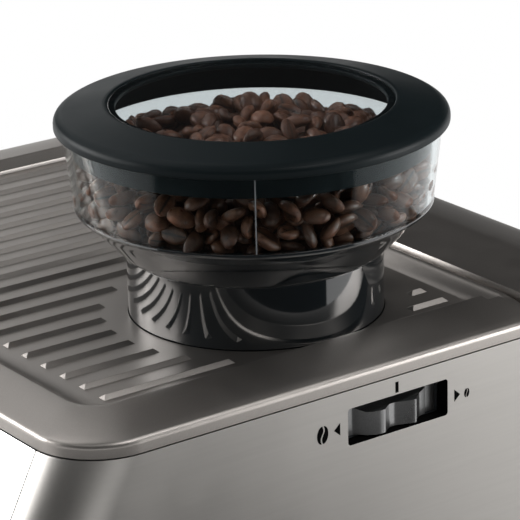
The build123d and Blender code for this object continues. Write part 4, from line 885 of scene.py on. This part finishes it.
def beanSign(bm, y, z, halfWide, halfTall):
    # Two halves of a bean parted by a wavy line
    size = signShape
    steps = size["beanSteps"]
    gap = halfWide * size["gap"]
    lean = halfWide * size["lean"]
    for side in (-1, 1):
        points = []
        for step in range(steps + 1):
            angle = -math.pi / 2 + math.pi * step / steps
            points.append((y + side * (gap + (halfWide - gap) * math.cos(angle)) + lean * math.sin(angle),
                           z + halfTall * math.sin(angle)))
        for step in range(1, steps):
            share = 1 - 2 * step / steps
            wave = halfWide * size["wave"] * math.sin(math.pi * share)
            points.append((y + side * gap + lean * share + wave, z + halfTall * share * size["crackEnd"]))
        printedFace(bm, points)


def makeSigns():
    bm = bmesh.new()
    y, top, wide, tall = signShape["tick"]
    printedFace(bm, [(y - wide / 2, top - tall), (y + wide / 2, top - tall), (y + wide / 2, top),
                     (y - wide / 2, top)])
    for tip, foot, z, tall in (signShape["leftArrow"], signShape["rightArrow"]):
        printedFace(bm, [(tip, z), (foot, z + tall / 2), (foot, z - tall / 2)])
    beanSign(bm, *signShape["largeBean"])
    beanSign(bm, *signShape["smallBean"])
    addPiece("grind_signs", bm, "machine", finish=printAndShadeBlack)


makeSigns()
print("signs printed")

# Pressure dial: marks and numbers under the needle
dialShape = {
    "spot": (-0.0380184, -0.0735911, 0.2770503), "up": (0, 0.4539905, 0.8910065), "sunk": 0.00015,
    "start": 225, "sweep": 250, "count": 16, "every": 5, "thick": 0.0001, "outer": 0.0203,
    "long": 0.0032, "short": 0.0018, "wide": 0.0005, "numberAt": 0.0138, "numberTall": 0.0042,
}


def makeDial():
    size = dialShape
    up = Vector(size["up"])
    across = Vector((1, 0, 0))
    out = across.cross(up)
    face = Matrix.Translation(Vector(size["spot"]) - out * size["sunk"]) @ Matrix(
        (across, up, out)).transposed().to_4x4()
    bm = bmesh.new()
    for step in range(size["count"]):
        angle = math.radians(size["start"] - size["sweep"] * step / (size["count"] - 1))
        tall = size["short"] if step % size["every"] else size["long"]
        place = face @ Matrix.Rotation(angle, 4, "Z") @ Matrix.Translation((size["outer"] - tall / 2, 0, 0))
        bar = Matrix.Diagonal((tall, size["wide"], size["thick"], 1))
        bmesh.ops.create_cube(bm, size=1, matrix=place @ bar)
        if step % size["every"] == 0:
            text = bpy.data.curves.new("dialNumber", "FONT")
            text.body = str(step)
            text.size = size["numberTall"]
            text.extrude = size["thick"] / 2
            text.align_x = text.align_y = "CENTER"
            holder = bpy.data.objects.new("dialNumber", text)
            mesh = bpy.data.meshes.new_from_object(holder)
            spot = Matrix.Rotation(angle, 3, "Z") @ Vector((size["numberAt"], 0, 0))
            mesh.transform(face @ Matrix.Translation(spot))
            bm.from_mesh(mesh)
            bpy.data.objects.remove(holder)
            bpy.data.curves.remove(text)
            bpy.data.meshes.remove(mesh)
    addPiece("gauge_marks", bm, "machine", finish=printAndShadeBlack, flat=False)


makeDial()
print("dial marked")


# Floor, lights and camera
floorShape = {
    "size": 6.0, "sunk": 0.0002, "colour": (0.76, 0.76, 0.755), "rough": 0.7, "near": 0.42, "far": 0.95,
}


def makeFloor():
    bm = bmesh.new()
    bmesh.ops.create_grid(bm, x_segments=2, y_segments=2, size=floorShape["size"])
    floor = placeMesh("floor", bm)
    floor.location = (0, 0, -floorShape["sunk"])
    material, shader = startMaterial("floorPale", floorShape["colour"], 0.0, floorShape["rough"])
    place = addNode(material, "TexCoord")
    length = addNode(material, "VectorMath", operation="LENGTH")
    link(material, place.outputs["Object"], length.inputs[0])
    away = spreadValue(material, length.outputs["Value"], 0.0, 1.0, floorShape["near"], floorShape["far"])
    rays = addNode(material, "LightPath").outputs
    seen = combine(material, "MAXIMUM", rays["Is Camera Ray"], rays["Is Transmission Ray"])
    seen = combine(material, "MAXIMUM", seen, rays["Is Glossy Ray"])
    glow = addNode(material, "Emission", {"Strength": 1.0})
    mixSurface(material, combine(material, "MULTIPLY", seen, away), shader.outputs["BSDF"],
               glow.outputs["Emission"])
    floor.data.materials.append(material)


worldLight = {
    "diffuse": 0.24,
    # Light in reflections and through clear parts, by the sine of the height over the horizon
    "mirrored": [(0.0, 1.0), (0.005, 1.0), (0.045, 0.02), (0.36, 0.010), (0.58, 0.05), (1.0, 0.04)],
}


def makeWorld():
    # White backdrop near the horizon and through clear parts, a darker room above it in mirrored light
    world = bpy.data.worlds.new("studio")
    bpy.context.scene.world = world
    world.use_nodes = True
    ground = world.node_tree.nodes["Background"]
    rays = addNode(world, "LightPath").outputs
    passed = combine(world, "MAXIMUM", rays["Is Glossy Ray"], rays["Is Transmission Ray"])
    place = addNode(world, "TexCoord")
    split = addNode(world, "SeparateXYZ")
    link(world, place.outputs["Generated"], split.inputs["Vector"])
    room = addNode(world, "ValToRGB")
    stops = room.color_ramp.elements
    while len(stops) < len(worldLight["mirrored"]):
        stops.new(0.5)
    for stop, (height, level) in zip(stops, worldLight["mirrored"]):
        stop.position = height
        stop.color = (level, level, level, 1.0)
    link(world, split.outputs["Z"], room.inputs["Fac"])
    mirrored = addNode(world, "Mix", {"A": worldLight["diffuse"]})
    link(world, room.outputs["Color"], mirrored.inputs["B"])
    link(world, passed, mirrored.inputs["Factor"])
    level = addNode(world, "Mix", {"B": 1.0})
    link(world, mirrored.outputs["Result"], level.inputs["A"])
    link(world, rays["Is Camera Ray"], level.inputs["Factor"])
    link(world, level.outputs["Result"], ground.inputs["Strength"])
    ground.inputs["Color"].default_value = (1, 1, 1, 1)


# Dark mats beside the machine, seen only in its reflections: angle from +X towards the front, near, far
matShape = {
    "level": 0.02, "rough": 0.9, "height": 0.003,
    "mats": [(-36, -28, 0.30, 0.70), (-28, 98, 0.30, 1.30)], "steps": 24,
}


def makeMats():
    centre = Vector((hopperSpot["x"], hopperSpot["y"], matShape["height"]))
    material, shader = startMaterial("darkMat", (matShape["level"],) * 3, 0.0, matShape["rough"])
    for index, (low, high, near, far) in enumerate(matShape["mats"]):
        bm = bmesh.new()
        turn = math.radians(low)
        out = Vector((math.cos(turn), -math.sin(turn), 0))
        ends = [bm.verts.new(centre + out * reach) for reach in (near, far)]
        edge = bm.edges.new(ends)
        bmesh.ops.spin(bm, geom=ends + [edge], cent=centre, axis=(0, 0, -1), angle=math.radians(high - low),
                       steps=matShape["steps"], use_merge=False, use_duplicate=False)
        mat = placeMesh("darkMat" + str(index + 1), bm)
        mat.data.materials.append(material)
        mat.visible_camera = False
        mat.visible_diffuse = False
        mat.visible_shadow = False


# Soft boxes round the machine: angle from +X towards the front, height angle, distance, size, power
softboxes = {
    "frontLeft": (130, 18, 1.2, (0.85, 0.50), 9.4),
    "left": (156, 17, 1.2, (0.40, 0.40), 3.0),
    "leftOver": (156, 36, 1.2, (0.50, 0.36), 0.6),
    "backLeft": (202, 17, 1.2, (0.36, 0.36), 0.36),
    "backLeftOver": (188, 36, 1.2, (0.50, 0.36), 0.4),
    "highFront": (142, 60, 1.2, (0.60, 0.45), 0.95),
    "highLeft": (188, 60, 1.2, (0.60, 0.45), 0.8),
    "highBack": (300, 60, 1.2, (0.60, 0.45), 1.3),
    "highRight": (-20, 55, 1.2, (0.60, 0.45), 2.5),
    "highFrontRight": (60, 55, 1.2, (0.60, 0.45), 0.5),
    "backRight": (-50, 8, 0.75, (0.40, 0.35), 3.0),
}
lightTarget = (0.05, 0.05, 0.33)


def aimAt(thing, spot, target):
    thing.location = spot
    thing.rotation_mode = "QUATERNION"
    thing.rotation_quaternion = (Vector(target) - Vector(spot)).to_track_quat("-Z", "Y")


def makeLights():
    for name, (azimuth, height, far, extent, power) in softboxes.items():
        lamp = bpy.data.lights.new(name, "AREA")
        lamp.shape = "RECTANGLE"
        lamp.size, lamp.size_y = extent
        lamp.energy = power
        box = bpy.data.objects.new(name, lamp)
        box.visible_camera = False
        bpy.context.scene.collection.objects.link(box)
        turn, rise = math.radians(azimuth), math.radians(height)
        reach = Vector((math.cos(turn) * math.cos(rise), -math.sin(turn) * math.cos(rise), math.sin(rise)))
        aimAt(box, Vector(lightTarget) + reach * far, lightTarget)


cameraSetup = {
    "azimuth": 54.48, "elevation": 19.68, "roll": -1.47, "distance": 1.05285, "focalPixels": 2854.86,
    "imagePixels": 520, "sensor": 36.0, "across": 0.00226, "up": -0.02114, "clip": (0.05, 50),
    "aim": (0.0737, 0.0769, 0.3600),
}


def makeCamera():
    size = cameraSetup
    turn, rise, roll = (math.radians(size[key]) for key in ("azimuth", "elevation", "roll"))
    back = Vector((math.sin(turn) * math.cos(rise), -math.cos(turn) * math.cos(rise), math.sin(rise)))
    right = Vector((math.cos(turn), math.sin(turn), 0))
    up = back.cross(right)
    level = right * math.cos(roll) + up * math.sin(roll)
    high = up * math.cos(roll) - right * math.sin(roll)
    data = bpy.data.cameras.new("photoCamera")
    data.sensor_width = size["sensor"]
    data.lens = size["focalPixels"] / size["imagePixels"] * size["sensor"]
    data.clip_start, data.clip_end = size["clip"]
    camera = bpy.data.objects.new("photoCamera", data)
    bpy.context.scene.collection.objects.link(camera)
    spot = Vector(size["aim"]) + back * size["distance"] + level * size["across"] + high * size["up"]
    turned = Matrix((level, high, back)).transposed().to_4x4()
    camera.matrix_world = Matrix.Translation(spot) @ turned
    bpy.context.scene.camera = camera


makeFloor()
makeWorld()
makeMats()
makeLights()
makeCamera()
bpy.context.scene.view_settings.view_transform = "Standard"
print("stage set")
